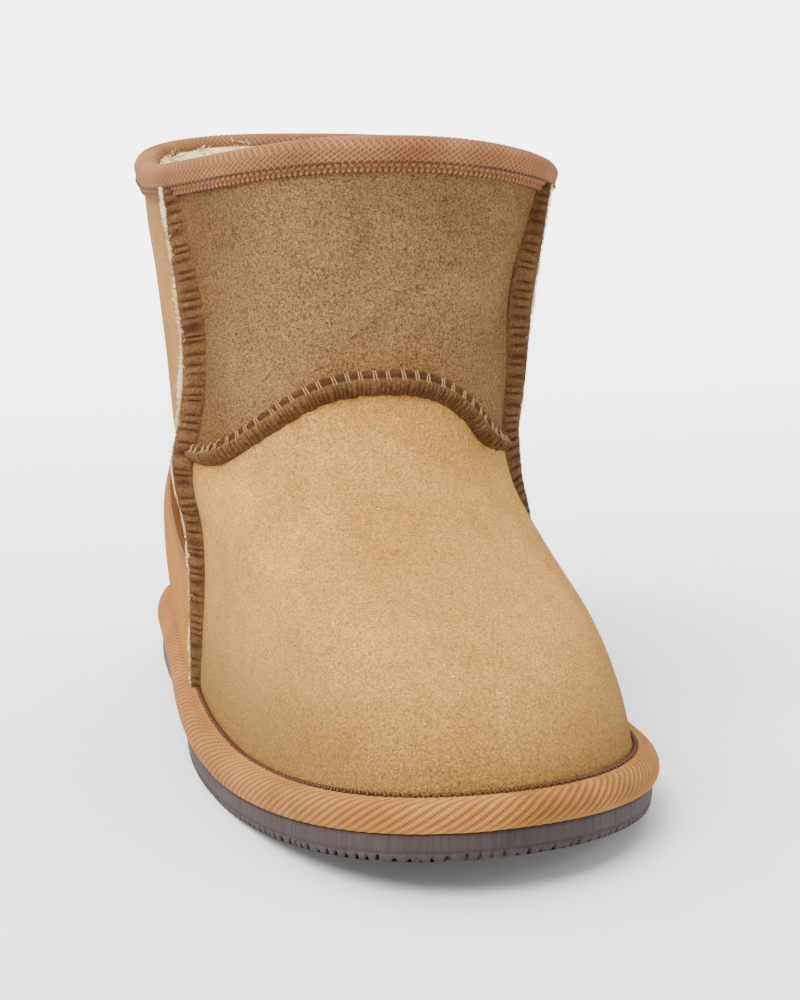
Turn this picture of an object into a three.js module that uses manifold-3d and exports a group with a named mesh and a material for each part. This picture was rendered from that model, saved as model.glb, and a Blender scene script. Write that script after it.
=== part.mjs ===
// Short sheepskin boot, left foot, standing on its sole. Millimetres, +Z up, toe towards -Y.
// The origin is on the floor, in the middle of the boot's box. +X is the outer (lateral) side.
import * as THREE from "three";
import { mergeVertices } from "three/addons/utils/BufferGeometryUtils.js";
import Module from "manifold-3d";

const wasm = await Module();
wasm.setup();

// Driving dimensions of the boot
const soleLength = 285;
const ballWidth = 117;
const bootHeight = 172;
const toeSpring = 10.5;
const forefootSoleThickness = 7;
const heelSoleThickness = 11.5;
const archLift = 2;
const hideThickness = 3;
const overlayThickness = 1.4;
const seatGap = 0.35;
const overlayGap = 0.6;

// How finely the curved pieces are divided
const stationsRound = 72;
const upperOuterRows = 17;
const upperInnerRows = 7;

// Sections of the upper, from the feather line to the collar.
// front, back, wide: where the section ends and is widest, as shares of the sole length.
// medial, lateral: its half widths, as shares of the ball width.
// zFront, zSide, zBack: its height at the front, sides and back, as shares of the boot height.
// fullMedial, fullLateral, fullBack: how square its corners are (2 is an ellipse).
// heel: width left at the back. toeIn: the toe's shift to the inner side, as a share of the ball width.
// turn: how far the section turns inwards about the leg's axis, in degrees.
const sectionColumns = [
  "front", "back", "wide", "medial", "lateral", "zFront", "zSide", "zBack",
  "fullMedial", "fullLateral", "fullBack", "heel", "toeIn", "turn",
];
const upperSections = [
  [-0.477, 0.477, -0.142, 0.432, 0.474, 0.087, 0.079, 0.099, 2.1, 2.2, 3.0, 0.73, -0.128, 0],
  [-0.482, 0.477, -0.142, 0.436, 0.466, 0.128, 0.108, 0.137, 2.1, 2.2, 2.9, 0.77, -0.128, 0],
  [-0.465, 0.475, -0.137, 0.427, 0.434, 0.200, 0.200, 0.230, 2.1, 2.2, 2.9, 0.84, -0.111, 0],
  [-0.423, 0.470, -0.111, 0.412, 0.404, 0.276, 0.294, 0.331, 2.1, 2.2, 2.9, 0.90, -0.090, -1],
  [-0.357, 0.461, -0.065, 0.390, 0.388, 0.347, 0.380, 0.419, 2.1, 2.1, 2.9, 0.95, -0.062, -5],
  [-0.273, 0.451, 0.008, 0.382, 0.386, 0.416, 0.455, 0.508, 2.1, 2.1, 2.85, 0.98, -0.034, -10],
  [-0.192, 0.442, 0.077, 0.397, 0.400, 0.503, 0.530, 0.593, 2.1, 2.1, 2.8, 1, -0.006, -12],
  [-0.140, 0.433, 0.130, 0.408, 0.440, 0.613, 0.622, 0.686, 2.2, 2.2, 2.75, 1, 0, -11],
  [-0.112, 0.426, 0.154, 0.422, 0.474, 0.744, 0.727, 0.767, 2.2, 2.2, 2.7, 1, 0.008, -9.5],
  [-0.103, 0.423, 0.158, 0.442, 0.505, 0.870, 0.823, 0.850, 2.2, 2.2, 2.65, 1, 0.020, -8.7],
  [-0.105, 0.421, 0.154, 0.456, 0.522, 1.000, 0.919, 0.930, 2.2, 2.2, 2.6, 1, 0.038, -8],
];
// Outline of the outsole, in the same columns
const soleSection = [-0.5, 0.5, -0.142, 0.480, 0.520, 0, 0, 0, 2.08, 2.13, 3.2, 0.75, -0.130, 0];
const collarLevel = upperSections.length - 1;
const legAxisY = 0.133 * soleLength;
// The middle of the boot's box, measured from the middle of the sole
const boxMiddleX = 3.93;
const soleWaistCurve = 2.5;
const bindingWaistCurve = 0.5;

// Where the side seams run: height, and the distance from the origin on the inner and outer side
const seamColumns = ["z", "medial", "lateral"];
const seamRowStep = 40;
const seamPath = [
  [10, 6, 2],
  [50, -1, -4],
  [90, -4, -10],
  [130, 11, -10],
  [170, 24, -6],
];
const seamRidgeWidth = 6.5;
const seamRidgeHeight = 3.4;
const seamClearance = seamRidgeWidth / 2 + 0.7;
// The medial seam leans where the instep seam meets it, so more room is left there
const leaningSeamClearance = seamClearance + 2.2;
const instepRidgeWidth = 6;
const instepRidgeHeight = 3;

// Sole binding, collar binding, heel counter and pull loop
const soleBindingHeight = 9;
const collarBindingHeight = 7;
const bindingTape = 1.5;
const counterSideLevel = 2.9;
const counterBackLevel = 5.25;
const counterPeakAngle = (190 * Math.PI) / 180;
const stripWidth = 28;
const loopWidth = 26;
const loopHeight = 15;
const loopReach = 12.5;
const loopWall = 1.6;
const loopCentreZ = 127;

// Tread: grooves across the sole
const grooveWidth = 2.6;
const grooveDepth = 2;
const groovePitch = 11;

const clamp = (value, low, high) => Math.min(Math.max(value, low), high);
const mix = (a, b, share) => a + (b - a) * share;
const ease = (share) => share * share * (3 - 2 * share);
const radians = THREE.MathUtils.degToRad;

// Section values in millimetres, from a row of shares
function sectionFrom(row) {
  const scale = {
    front: soleLength, back: soleLength, wide: soleLength,
    medial: ballWidth, lateral: ballWidth, toeIn: ballWidth,
    zFront: bootHeight, zSide: bootHeight, zBack: bootHeight,
  };
  return Object.fromEntries(sectionColumns.map((name, i) => [name, row[i] * (scale[name] ?? 1)]));
}

const sections = upperSections.map(sectionFrom);

// Smooth curve through equally spaced values, straight on at both ends
function throughValues(values, place) {
  const last = values.length - 1;
  const i = clamp(Math.floor(place), 0, last - 1);
  const t = place - i;
  const at = (k) => {
    if (k < 0) return 2 * values[0] - values[1];
    if (k > last) return 2 * values[last] - values[last - 1];
    return values[k];
  };
  const [a, b, c, d] = [at(i - 1), at(i), at(i + 1), at(i + 2)];
  return 0.5 * (2 * b + (c - a) * t + (2 * a - 5 * b + 4 * c - d) * t ** 2 + (3 * b - a - 3 * c + d) * t ** 3);
}

function sectionAt(level) {
  const place = clamp(level, 0, collarLevel);
  return Object.fromEntries(
    sectionColumns.map((name) => [name, throughValues(sections.map((row) => row[name]), place)]),
  );
}

// A point of one section. The angle is 0 at the toe, +90 degrees on the outer side, 180 at the heel.
function sectionPoint(section, angle) {
  const side = Math.sin(angle);
  const along = Math.cos(angle);
  const frontFullness = side < 0 ? section.fullMedial : section.fullLateral;
  const fullness = along >= 0 ? frontFullness : section.fullBack;
  const across = Math.abs(side) ** (2 / fullness);
  const reach = Math.abs(along) ** (2 / fullness);
  const end = along >= 0 ? section.front : section.back;
  const frontShare = along > 0 ? reach : 0;
  const backShare = along < 0 ? reach : 0;
  const taper = 1 - (1 - section.heel) * ease(clamp(backShare / 0.75, 0, 1));
  const half = side > 0 ? section.lateral : section.medial;
  const x = Math.sign(side) * half * across * taper + section.toeIn * frontShare ** 2;
  const y = mix(section.wide, end, reach) - legAxisY;
  const endHeight = along >= 0 ? section.zFront : section.zBack;
  const z = mix(section.zSide, endHeight, Math.abs(along) ** 1.6);
  const turn = radians(section.turn);
  return new THREE.Vector3(
    x * Math.cos(turn) - y * Math.sin(turn),
    x * Math.sin(turn) + y * Math.cos(turn) + legAxisY,
    z,
  );
}

// Underside of the sole: flat heel and forefoot, a low arch, toe spring and a slight heel bevel
function soleBottomZ(y) {
  const springStart = -50;
  const spring = toeSpring * clamp((springStart - y) / (soleLength / 2 + springStart), 0, 1) ** 1.4;
  const archShare = clamp((y + 12) / 64, 0, 1);
  const arch = archLift * Math.sin(Math.PI * archShare) ** 2;
  const bevel = 1.5 * clamp((y - 128) / 14.5, 0, 1) ** 2;
  return spring + arch + bevel;
}

function soleTopZ(y) {
  const springStart = -50;
  const spring = toeSpring * clamp((springStart - y) / (soleLength / 2 + springStart), 0, 1) ** 1.4;
  const rise = ease(clamp((y + 55) / 130, 0, 1));
  return spring + mix(forefootSoleThickness, heelSoleThickness, rise);
}

// A section let out by a distance all round, or drawn in by a negative one
function letOut(section, distance) {
  const half = (section.medial + section.lateral) / 2;
  return {
    ...section,
    front: section.front - distance,
    back: section.back + distance,
    medial: section.medial + distance,
    lateral: section.lateral + distance,
    heel: (half * section.heel + distance) / (half + distance),
  };
}

// Outline of the sole, let out or drawn in, with its waist on both sides
function soleEdge(angle, distance, waistCurve) {
  const section = letOut(sectionFrom(soleSection), distance);
  const point = sectionPoint(section, angle);
  const backShare = clamp((point.y - section.wide) / (section.back - section.wide), 0, 1);
  const hollow = waistCurve * Math.exp(-(((backShare - 0.42) / 0.2) ** 2)) * Math.sin(angle) ** 2;
  point.x += point.x < 0 ? hollow : -0.35 * hollow;
  return point;
}

// Outer face of the upper. The lowest section is brought down to sit just over the sole.
function upperPoint(level, angle) {
  const point = sectionPoint(sectionAt(level), angle);
  if (level < 1) {
    const foot = sectionPoint(sections[0], angle);
    point.z += (soleTopZ(foot.y) + seatGap - foot.z) * (1 - level) ** 2;
  }
  return point;
}

// The same face moved outwards by a distance, or inwards by a negative one
function upperOffset(level, angle, distance) {
  const step = 0.01;
  const low = Math.min(Math.max(level - step, 0), collarLevel - 2 * step);
  const up = upperPoint(low + 2 * step, angle).sub(upperPoint(low, angle));
  const round = upperPoint(level, angle + step).sub(upperPoint(level, angle - step));
  const normal = new THREE.Vector3().crossVectors(round, up).normalize();
  return upperPoint(level, angle).addScaledVector(normal, distance);
}

// The level at which the upper's outer face reaches a height, at one angle
function levelAtHeight(angle, height) {
  let low = 0;
  let high = collarLevel;
  for (let i = 0; i < 40; i += 1) {
    const middle = (low + high) / 2;
    if (upperPoint(middle, angle).z < height) low = middle;
    else high = middle;
  }
  return (low + high) / 2;
}

const bindingTopLevel = (angle) => {
  const foot = upperPoint(0, angle);
  return levelAtHeight(angle, soleTopZ(foot.y) + soleBindingHeight - 0.8);
};
const collarTapeLevel = (angle) => levelAtHeight(angle, upperPoint(collarLevel, angle).z - collarBindingHeight);

// Distance of a side seam from the origin at a height, by a smooth curve through its table
function seamY(z, side) {
  const column = seamColumns.indexOf(side < 0 ? "medial" : "lateral");
  const place = clamp((z - seamPath[0][0]) / seamRowStep, 0, seamPath.length - 1);
  return throughValues(seamPath.map((row) => row[column]), place);
}

// The angle at which one level crosses a side seam, or a line some way behind it.
// Side is -1 on the inner side and +1 on the outer.
function seamAngle(level, side, behind = 0) {
  let low = radians(40);
  let high = radians(150);
  for (let i = 0; i < 40; i += 1) {
    const middle = (low + high) / 2;
    const point = upperPoint(level, side * middle);
    if (point.y < seamY(point.z, side) + behind) low = middle;
    else high = middle;
  }
  return (side * (low + high)) / 2;
}

// The level of the instep seam: a flat-topped bow over the front of the ankle
function instepLevel(angle) {
  const top = 7.17;
  const ends = 5.7;
  const centre = radians(6);
  const halfWidth = radians(45);
  return ends + (top - ends) * Math.exp(-(Math.abs((angle - centre) / halfWidth) ** 2.4));
}

// The level of the counter's top edge: low at the side seams, high up the back
function counterTopLevel(angle) {
  const aside = angle - counterPeakAngle;
  const fromPeak = Math.abs(Math.atan2(Math.sin(aside), Math.cos(aside)));
  const backShare = clamp(1 - fromPeak / radians(88), 0, 1);
  return mix(counterSideLevel, counterBackLevel, ease(backShare));
}

// A closed mesh from rings of points. Open rings get their sides closed by the ring itself,
// and the first and last ring are capped unless the rings close on themselves.
function meshFromRings(rings, closed) {
  const count = rings[0].length;
  const positions = rings.flat().flatMap((point) => [point.x, point.y, point.z]);
  const index = [];
  const ringCount = closed ? rings.length : rings.length - 1;
  for (let r = 0; r < ringCount; r += 1) {
    const here = r * count;
    const next = ((r + 1) % rings.length) * count;
    for (let i = 0; i < count; i += 1) {
      const j = (i + 1) % count;
      index.push(here + i, here + j, next + j, here + i, next + j, next + i);
    }
  }
  if (!closed) {
    for (const [start, flip] of [[0, true], [(rings.length - 1) * count, false]]) {
      for (let i = 1; i < count - 1; i += 1) {
        index.push(start, start + (flip ? i + 1 : i), start + (flip ? i : i + 1));
      }
    }
  }
  return facingOut(positions, index);
}

// A geometry whose faces point outwards, judged by its signed volume
function facingOut(positions, index) {
  const corner = (k) => new THREE.Vector3().fromArray(positions, 3 * k);
  let volume = 0;
  for (let t = 0; t < index.length; t += 3) {
    volume += corner(index[t]).dot(corner(index[t + 1]).cross(corner(index[t + 2])));
  }
  const turned = [...index];
  if (volume < 0) {
    for (let t = 0; t < turned.length; t += 3) {
      [turned[t + 1], turned[t + 2]] = [turned[t + 2], turned[t + 1]];
    }
  }
  const geometry = new THREE.BufferGeometry();
  geometry.setAttribute("position", new THREE.Float32BufferAttribute(positions, 3));
  geometry.setIndex(turned);
  return geometry;
}

function toSolid(geometry) {
  const bare = geometry.clone();
  bare.deleteAttribute("normal");
  bare.deleteAttribute("uv");
  const merged = mergeVertices(bare, 1e-4);
  return new wasm.Manifold(new wasm.Mesh({
    numProp: 3,
    vertProperties: new Float32Array(merged.attributes.position.array),
    triVerts: new Uint32Array(merged.index.array),
  }));
}

function fromSolid(solid) {
  const mesh = solid.getMesh();
  const geometry = new THREE.BufferGeometry();
  geometry.setAttribute("position", new THREE.BufferAttribute(new Float32Array(mesh.vertProperties), 3));
  geometry.setIndex([...mesh.triVerts]);
  return geometry;
}

const angleAt = (i, count) => -Math.PI + (2 * Math.PI * i) / count;

// Where cross-sections stand along a flat section, closer together towards both ends
function stationsAlong({ front, back, wide }) {
  const perHalf = 15;
  const shares = Array.from({ length: perHalf }, (_, i) => Math.sin((Math.PI / 2) * (i / perHalf)));
  const ends = [...shares.slice(1), 0.997];
  return [
    ...ends.toReversed().map((share) => mix(wide, front, share)),
    wide,
    ...ends.map((share) => mix(wide, back, share)),
  ];
}

// A flat section's edge at one distance along it; side is -1 on the inner side, +1 on the outer
function edgeX(section, y, side, waistCurve) {
  const { wide } = section;
  const end = y < wide ? section.front : section.back;
  const reach = clamp((y - wide) / (end - wide), 0, 1);
  const frontFullness = side < 0 ? section.fullMedial : section.fullLateral;
  const fullness = y < wide ? frontFullness : section.fullBack;
  const across = (1 - reach ** fullness) ** (1 / fullness);
  const backShare = y > wide ? reach : 0;
  const taper = 1 - (1 - section.heel) * ease(clamp(backShare / 0.75, 0, 1));
  const half = side < 0 ? section.medial : section.lateral;
  const hollow = waistCurve * Math.exp(-(((backShare - 0.42) / 0.2) ** 2)) * across ** 2;
  const toeShift = y < wide ? section.toeIn * reach ** 2 : 0;
  return side * half * across * taper + toeShift + (side < 0 ? hollow : -0.35 * hollow);
}

// Outsole: cross-sections with a stepped wall, cut by the grooves of the tread
function outsoleGeometry() {
  const treadInset = -0.9;
  const stepHeight = 2.2;
  const section = sectionFrom(soleSection);
  const rings = stationsAlong(section).map((y) => {
    const corner = (side, offset, z) => {
      const x = edgeX(section, y, side, soleWaistCurve) + side * offset;
      return new THREE.Vector3(x, y, z);
    };
    const bottom = soleBottomZ(y);
    return [
      corner(-1, treadInset, bottom),
      corner(1, treadInset, bottom),
      corner(1, treadInset, bottom + stepHeight),
      corner(1, 0, bottom + stepHeight + 0.6),
      corner(1, 0, soleTopZ(y)),
      corner(-1, 0, soleTopZ(y)),
      corner(-1, 0, bottom + stepHeight + 0.6),
      corner(-1, treadInset, bottom + stepHeight),
    ];
  });
  let cut = toSolid(meshFromRings(rings, false));
  for (let y = -soleLength / 2 + 12; y < soleLength / 2 - 8; y += groovePitch) {
    const slope = Math.atan2(soleBottomZ(y + 2) - soleBottomZ(y - 2), 4);
    const groove = new THREE.BoxGeometry(2 * ballWidth, grooveWidth, 2 * grooveDepth);
    groove.rotateX(slope);
    groove.translate(0, y, soleBottomZ(y));
    cut = cut.subtract(toSolid(groove));
  }
  return fromSolid(cut);
}

// Insole: a thin board that fills the upper's lower opening
function insoleGeometry() {
  const boardThickness = 3;
  const section = letOut(sections[0], -hideThickness - 1);
  const rings = stationsAlong(section).map((y) => {
    const corner = (side, lift) => new THREE.Vector3(
      edgeX(section, y, side, 0), y, soleTopZ(y) + seatGap + lift,
    );
    return [corner(-1, 0), corner(1, 0), corner(1, boardThickness), corner(-1, boardThickness)];
  });
  return meshFromRings(rings, false);
}

// Levels of the upper's rows at one angle: under the sole binding, up the leg, under the collar tape
function rowLevels(angle, rowsBetween) {
  const crest = bindingTopLevel(angle);
  const tape = collarTapeLevel(angle);
  const between = Array.from({ length: rowsBetween + 1 }, (_, r) => mix(crest, tape, r / rowsBetween));
  return [0, crest / 2, ...between, collarLevel];
}

// Upper: one hollow wall, open at the collar and underneath
function upperGeometry() {
  const columns = Array.from({ length: stationsRound }, (_, i) => {
    const angle = angleAt(i, stationsRound);
    const rim = upperPoint(collarLevel, angle).z;
    const outer = rowLevels(angle, upperOuterRows).map((level) => upperPoint(level, angle));
    const inner = rowLevels(angle, upperInnerRows).map((level) => upperOffset(level, angle, -hideThickness));
    inner[0].setZ(soleTopZ(inner[0].y) + seatGap);
    inner[inner.length - 1].setZ(rim);
    return [...outer, ...inner.reverse()];
  });
  return meshFromRings(columns, true);
}

// Sole binding: a rolled tape that covers the joint of upper and sole all the way round
function soleBindingGeometry() {
  const edgePoint = (angle, offset, lift) => {
    const point = soleEdge(angle, offset, bindingWaistCurve);
    point.z = soleTopZ(point.y) + lift;
    return point;
  };
  const rings = Array.from({ length: stationsRound }, (_, i) => {
    const angle = angleAt(i, stationsRound);
    const crest = bindingTopLevel(angle);
    const foot = upperOffset(0, angle, seatGap);
    const inner = upperOffset(crest, angle, seatGap);
    const shoulder = edgePoint(angle, -0.4, soleBindingHeight - 1.6);
    const crown = inner.clone().lerp(shoulder, 0.45).setZ(inner.z + 0.9);
    return [
      foot.setZ(soleTopZ(foot.y) + seatGap),
      edgePoint(angle, 0.6, seatGap),
      edgePoint(angle, 1.5, 2.6),
      edgePoint(angle, 1.1, 5.2),
      shoulder,
      crown,
      inner,
      upperOffset(crest / 2, angle, seatGap),
    ];
  });
  return meshFromRings(rings, true);
}

// Collar binding: a tape folded over the top edge, outside and inside
function collarBindingGeometry() {
  const rings = Array.from({ length: stationsRound }, (_, i) => {
    const angle = angleAt(i, stationsRound);
    const low = collarTapeLevel(angle);
    const inside = -hideThickness - seatGap;
    const lifted = (distance, lift) => {
      const point = upperOffset(collarLevel, angle, distance);
      point.z = upperPoint(collarLevel, angle).z + lift;
      return point;
    };
    return [
      upperOffset(low, angle, seatGap),
      upperOffset(low, angle, seatGap + bindingTape),
      lifted(seatGap + bindingTape + 0.2, -0.6),
      lifted(-0.2, seatGap + bindingTape),
      lifted(-hideThickness + 0.2, seatGap + bindingTape),
      lifted(inside - bindingTape - 0.2, -0.6),
      upperOffset(low, angle, inside - bindingTape),
      upperOffset(low, angle, inside),
      lifted(inside, seatGap),
      lifted(seatGap, seatGap),
    ];
  });
  return meshFromRings(rings, true);
}

// A raised seam: a rounded ridge that follows a path of levels and angles on the upper
function ridgeGeometry(path, width, height) {
  const profile = [
    [-0.5, 0], [-0.5, 0.35], [-0.3, 0.85], [0, 1], [0.3, 0.85], [0.5, 0.35], [0.5, 0], [0, 0],
  ];
  const rings = path.map(([level, angle], i) => {
    const before = upperPoint(...path[Math.max(i - 1, 0)]);
    const after = upperPoint(...path[Math.min(i + 1, path.length - 1)]);
    const out = upperOffset(level, angle, 1).sub(upperPoint(level, angle));
    const across = new THREE.Vector3().crossVectors(after.sub(before), out).normalize();
    return profile.map(([share, lift]) => (
      upperOffset(level, angle, overlayGap + lift * height).addScaledVector(across, share * width)
    ));
  });
  return meshFromRings(rings, false);
}

function sideSeamGeometry(side) {
  const rows = 26;
  const foot = seamAngle(1.2, side);
  const top = seamAngle(9.7, side);
  const low = bindingTopLevel(foot) + 0.17;
  const high = collarTapeLevel(top) - 0.06;
  const path = Array.from({ length: rows + 1 }, (_, i) => {
    const level = mix(low, high, i / rows);
    return [level, seamAngle(level, side)];
  });
  return ridgeGeometry(path, seamRidgeWidth, seamRidgeHeight);
}

function instepSeamGeometry() {
  const columns = 28;
  const from = seamAngle(instepLevel(radians(-72)), -1, -leaningSeamClearance);
  const to = seamAngle(instepLevel(radians(72)), 1, -seamClearance);
  const path = Array.from({ length: columns + 1 }, (_, i) => {
    const angle = mix(from, to, i / columns);
    return [instepLevel(angle), angle];
  });
  return ridgeGeometry(path, instepRidgeWidth, instepRidgeHeight);
}

// Heel counter: a second layer round the heel, between the side seams
function heelCounterGeometry() {
  const columns = 36;
  const rows = 5;
  const place = (share, rowShare) => {
    let angle = radians(180);
    let level = 2;
    for (let i = 0; i < 6; i += 1) {
      const start = seamAngle(level, 1, seamClearance);
      const end = seamAngle(level, -1, seamClearance) + 2 * Math.PI;
      angle = mix(start, end, share);
      const wrapped = angle > Math.PI ? angle - 2 * Math.PI : angle;
      level = mix(bindingTopLevel(wrapped) + 0.16, counterTopLevel(wrapped), rowShare);
    }
    return [level, angle];
  };
  const rings = Array.from({ length: columns + 1 }, (_, i) => {
    const spots = Array.from({ length: rows + 1 }, (_, r) => place(i / columns, r / rows));
    const inner = spots.map(([level, angle]) => upperOffset(level, angle, overlayGap));
    const outer = spots.map(([level, angle]) => upperOffset(level, angle, overlayGap + overlayThickness));
    return [...inner, ...outer.reverse()];
  });
  return meshFromRings(rings, false);
}

// Pull loop: a strip up the back with a folded loop standing out of it, mouth to the side
function pullLoopGeometry() {
  const columns = 8;
  const rows = 6;
  const angleForX = (level, x) => {
    let low = radians(150);
    let high = radians(210);
    for (let i = 0; i < 40; i += 1) {
      const middle = (low + high) / 2;
      if (upperPoint(level, middle).x > x) low = middle;
      else high = middle;
    }
    return (low + high) / 2;
  };
  const backLevel = levelAtHeight(Math.PI, loopCentreZ);
  const backPlaces = Array.from({ length: 121 }, (_, i) => upperPoint(backLevel, radians(150 + i / 2)));
  const { x: backX, y: backY } = backPlaces.reduce((a, b) => (b.y > a.y ? b : a));
  const highLevel = collarTapeLevel(Math.PI) - 0.06;
  const stripRings = Array.from({ length: columns + 1 }, (_, i) => {
    const x = backX + stripWidth * (i / columns - 0.5);
    const lowLevel = counterTopLevel(angleForX(counterBackLevel, x)) + 0.12;
    const spots = Array.from({ length: rows + 1 }, (_, r) => {
      const level = mix(lowLevel, highLevel, r / rows);
      return [level, angleForX(level, x)];
    });
    const inner = spots.map(([level, angle]) => upperOffset(level, angle, overlayGap));
    const outer = spots.map(([level, angle]) => upperOffset(level, angle, overlayGap + overlayThickness));
    return [...inner, ...outer.reverse()];
  });
  const strip = toSolid(meshFromRings(stripRings, false));
  const teardrop = (reach, height, startY) => Array.from({ length: 20 }, (_, i) => {
    const turn = (2 * Math.PI * i) / 20;
    const out = (1 - Math.cos(turn)) / 2;
    const fullness = 0.55 + 0.45 * Math.sin(Math.PI * Math.min(out * 0.85, 0.5));
    return new THREE.Vector2(startY + reach * out, loopCentreZ - (height / 2) * Math.sin(turn) * fullness);
  });
  const outline = new THREE.Shape(teardrop(loopReach, loopHeight, overlayGap + 0.5));
  outline.holes.push(new THREE.Path(
    teardrop(loopReach - 2 * loopWall, loopHeight - 2 * loopWall, overlayGap + 0.5 + loopWall),
  ));
  const loop = new THREE.ExtrudeGeometry(outline, { depth: loopWidth, bevelEnabled: false });
  // The outline's first axis becomes +Y, its second +Z, and the depth runs along +X
  loop.applyMatrix4(new THREE.Matrix4().makeBasis(
    new THREE.Vector3(0, 1, 0), new THREE.Vector3(0, 0, 1), new THREE.Vector3(1, 0, 0),
  ));
  loop.translate(backX - loopWidth / 2, backY, 0);
  return fromSolid(strip.add(toSolid(loop)));
}

const suede = (color) => new THREE.MeshStandardMaterial({ color, roughness: 0.95, metalness: 0 });

function piece(name, geometry, material) {
  const mesh = new THREE.Mesh(geometry.translate(-boxMiddleX, 0, 0), material);
  mesh.name = name;
  return mesh;
}

const group = new THREE.Group();
group.add(
  piece("outsole", outsoleGeometry(), new THREE.MeshStandardMaterial({ color: 0x6b5f5c, roughness: 0.85 })),
  piece("insole", insoleGeometry(), suede(0xe2d6b0)),
  piece("upper", upperGeometry(), suede(0xb98a56)),
  piece("sole_binding", soleBindingGeometry(), suede(0xb5783f)),
  piece("collar_binding", collarBindingGeometry(), suede(0x9a6236)),
  piece("side_seam_medial", sideSeamGeometry(-1), suede(0x7a4f2c)),
  piece("side_seam_lateral", sideSeamGeometry(1), suede(0x7a4f2c)),
  piece("instep_seam", instepSeamGeometry(), suede(0x7a4f2c)),
  piece("heel_counter", heelCounterGeometry(), suede(0xb67f43)),
  piece("pull_loop", pullLoopGeometry(), suede(0xa97945)),
);

export default group;
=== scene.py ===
"""Looks of a short sheepskin boot, left foot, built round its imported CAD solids."""

import math

import bpy
import numpy as np
from mathutils import Matrix, Vector


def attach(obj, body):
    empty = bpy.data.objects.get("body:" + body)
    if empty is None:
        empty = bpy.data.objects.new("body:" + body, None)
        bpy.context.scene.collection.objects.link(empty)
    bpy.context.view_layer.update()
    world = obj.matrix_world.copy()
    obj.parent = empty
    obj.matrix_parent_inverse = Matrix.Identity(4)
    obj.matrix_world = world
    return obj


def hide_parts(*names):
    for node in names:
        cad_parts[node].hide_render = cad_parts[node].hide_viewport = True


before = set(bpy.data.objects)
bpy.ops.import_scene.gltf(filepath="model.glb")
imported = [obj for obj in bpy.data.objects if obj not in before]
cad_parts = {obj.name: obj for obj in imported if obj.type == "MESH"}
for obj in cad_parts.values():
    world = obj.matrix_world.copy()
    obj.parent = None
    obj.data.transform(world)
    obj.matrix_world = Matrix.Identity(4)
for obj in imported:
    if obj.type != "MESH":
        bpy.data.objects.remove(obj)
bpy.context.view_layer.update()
MM = 0.001


# Camera at the photograph's angle: in front of the boot, a little to its inner side and above it.
camera_place = Vector((-257.44, -822.71, 244.33)) * MM
camera_yaw, camera_pitch, camera_roll = (math.radians(a) for a in (17.7, 11.45, 0.81))
forward = Vector((
    math.sin(camera_yaw) * math.cos(camera_pitch),
    math.cos(camera_yaw) * math.cos(camera_pitch),
    -math.sin(camera_pitch),
))
level_right = Vector((math.cos(camera_yaw), -math.sin(camera_yaw), 0))
level_up = level_right.cross(forward)
camera_right = level_right * math.cos(camera_roll) + level_up * math.sin(camera_roll)
camera_up = level_up * math.cos(camera_roll) - level_right * math.sin(camera_roll)
camera_data = bpy.data.cameras.new("camera")
camera_data.sensor_fit = "VERTICAL"
camera_data.sensor_height = 36
camera_data.lens = 113
camera_data.clip_start = 0.05
camera = bpy.data.objects.new("camera", camera_data)
camera.matrix_world = Matrix.Translation(camera_place) @ Matrix((
    (camera_right.x, camera_up.x, -forward.x, 0),
    (camera_right.y, camera_up.y, -forward.y, 0),
    (camera_right.z, camera_up.z, -forward.z, 0),
    (0, 0, 0, 1),
))
bpy.context.collection.objects.link(camera)
bpy.context.scene.camera = camera


# Soft studio light: a bright room, and wide softboxes far off: high on the left,
# overhead, and a weak one low on the right.
def add_node(tree, kind, values=None, **settings):
    node = tree.nodes.new(kind)
    for key, value in settings.items():
        setattr(node, key, value)
    for key, value in (values or {}).items():
        if isinstance(value, bpy.types.NodeSocket):
            tree.links.new(value, node.inputs[key])
        else:
            node.inputs[key].default_value = value
    return node


world = bpy.data.worlds.new("studio")
bpy.context.scene.world = world
world.use_nodes = True
sky = world.node_tree
background = sky.nodes["Background"]
background.inputs["Color"].default_value = (0.95, 0.96, 1.0, 1)
# The room's wall is brightest where it meets the floor, so that no edge shows there
toward = add_node(sky, "ShaderNodeTexCoord").outputs["Generated"]
glow = add_node(sky, "ShaderNodeMapRange", {
    "Value": add_node(sky, "ShaderNodeSeparateXYZ", {0: toward}).outputs["Z"],
    "From Min": 0.0, "From Max": 0.16, "To Min": 3.6, "To Max": 1.0,
}, interpolation_type="SMOOTHSTEP").outputs["Result"]
sky.links.new(glow, background.inputs["Strength"])


def softbox(name, direction, strength, spread, warmth):
    """A distant light that shines from a direction, as wide as its spread in degrees."""
    data = bpy.data.lights.new(name, "SUN")
    data.energy = strength
    data.angle = math.radians(spread)
    data.color = (1, 1 - 0.5 * warmth, 1 - warmth)
    light = bpy.data.objects.new(name, data)
    light.rotation_euler = Vector(direction).to_track_quat("Z", "Y").to_euler()
    bpy.context.collection.objects.link(light)


softbox("key", (-0.8, -0.55, 1.15), 6.8, 38, 0.02)
softbox("top", (-0.15, 0.35, 1.0), 4.6, 70, 0.0)
softbox("fill", (1.0, -0.7, 0.35), 1.5, 60, 0.0)


# Floor: a plain pale studio floor that runs back to the horizon. Its tone is painted light and shade: away
# from the boot the paper is painted paler and made to glow, as if more strongly lit, and near the boot it is
# painted darker.
def blend(tree, share, first, second, mode="MIX"):
    """Colour mix of two colours or sockets."""
    values = {0: share, 6: first, 7: second}
    return add_node(tree, "ShaderNodeMix", values, data_type="RGBA", blend_type=mode).outputs[2]


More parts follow.
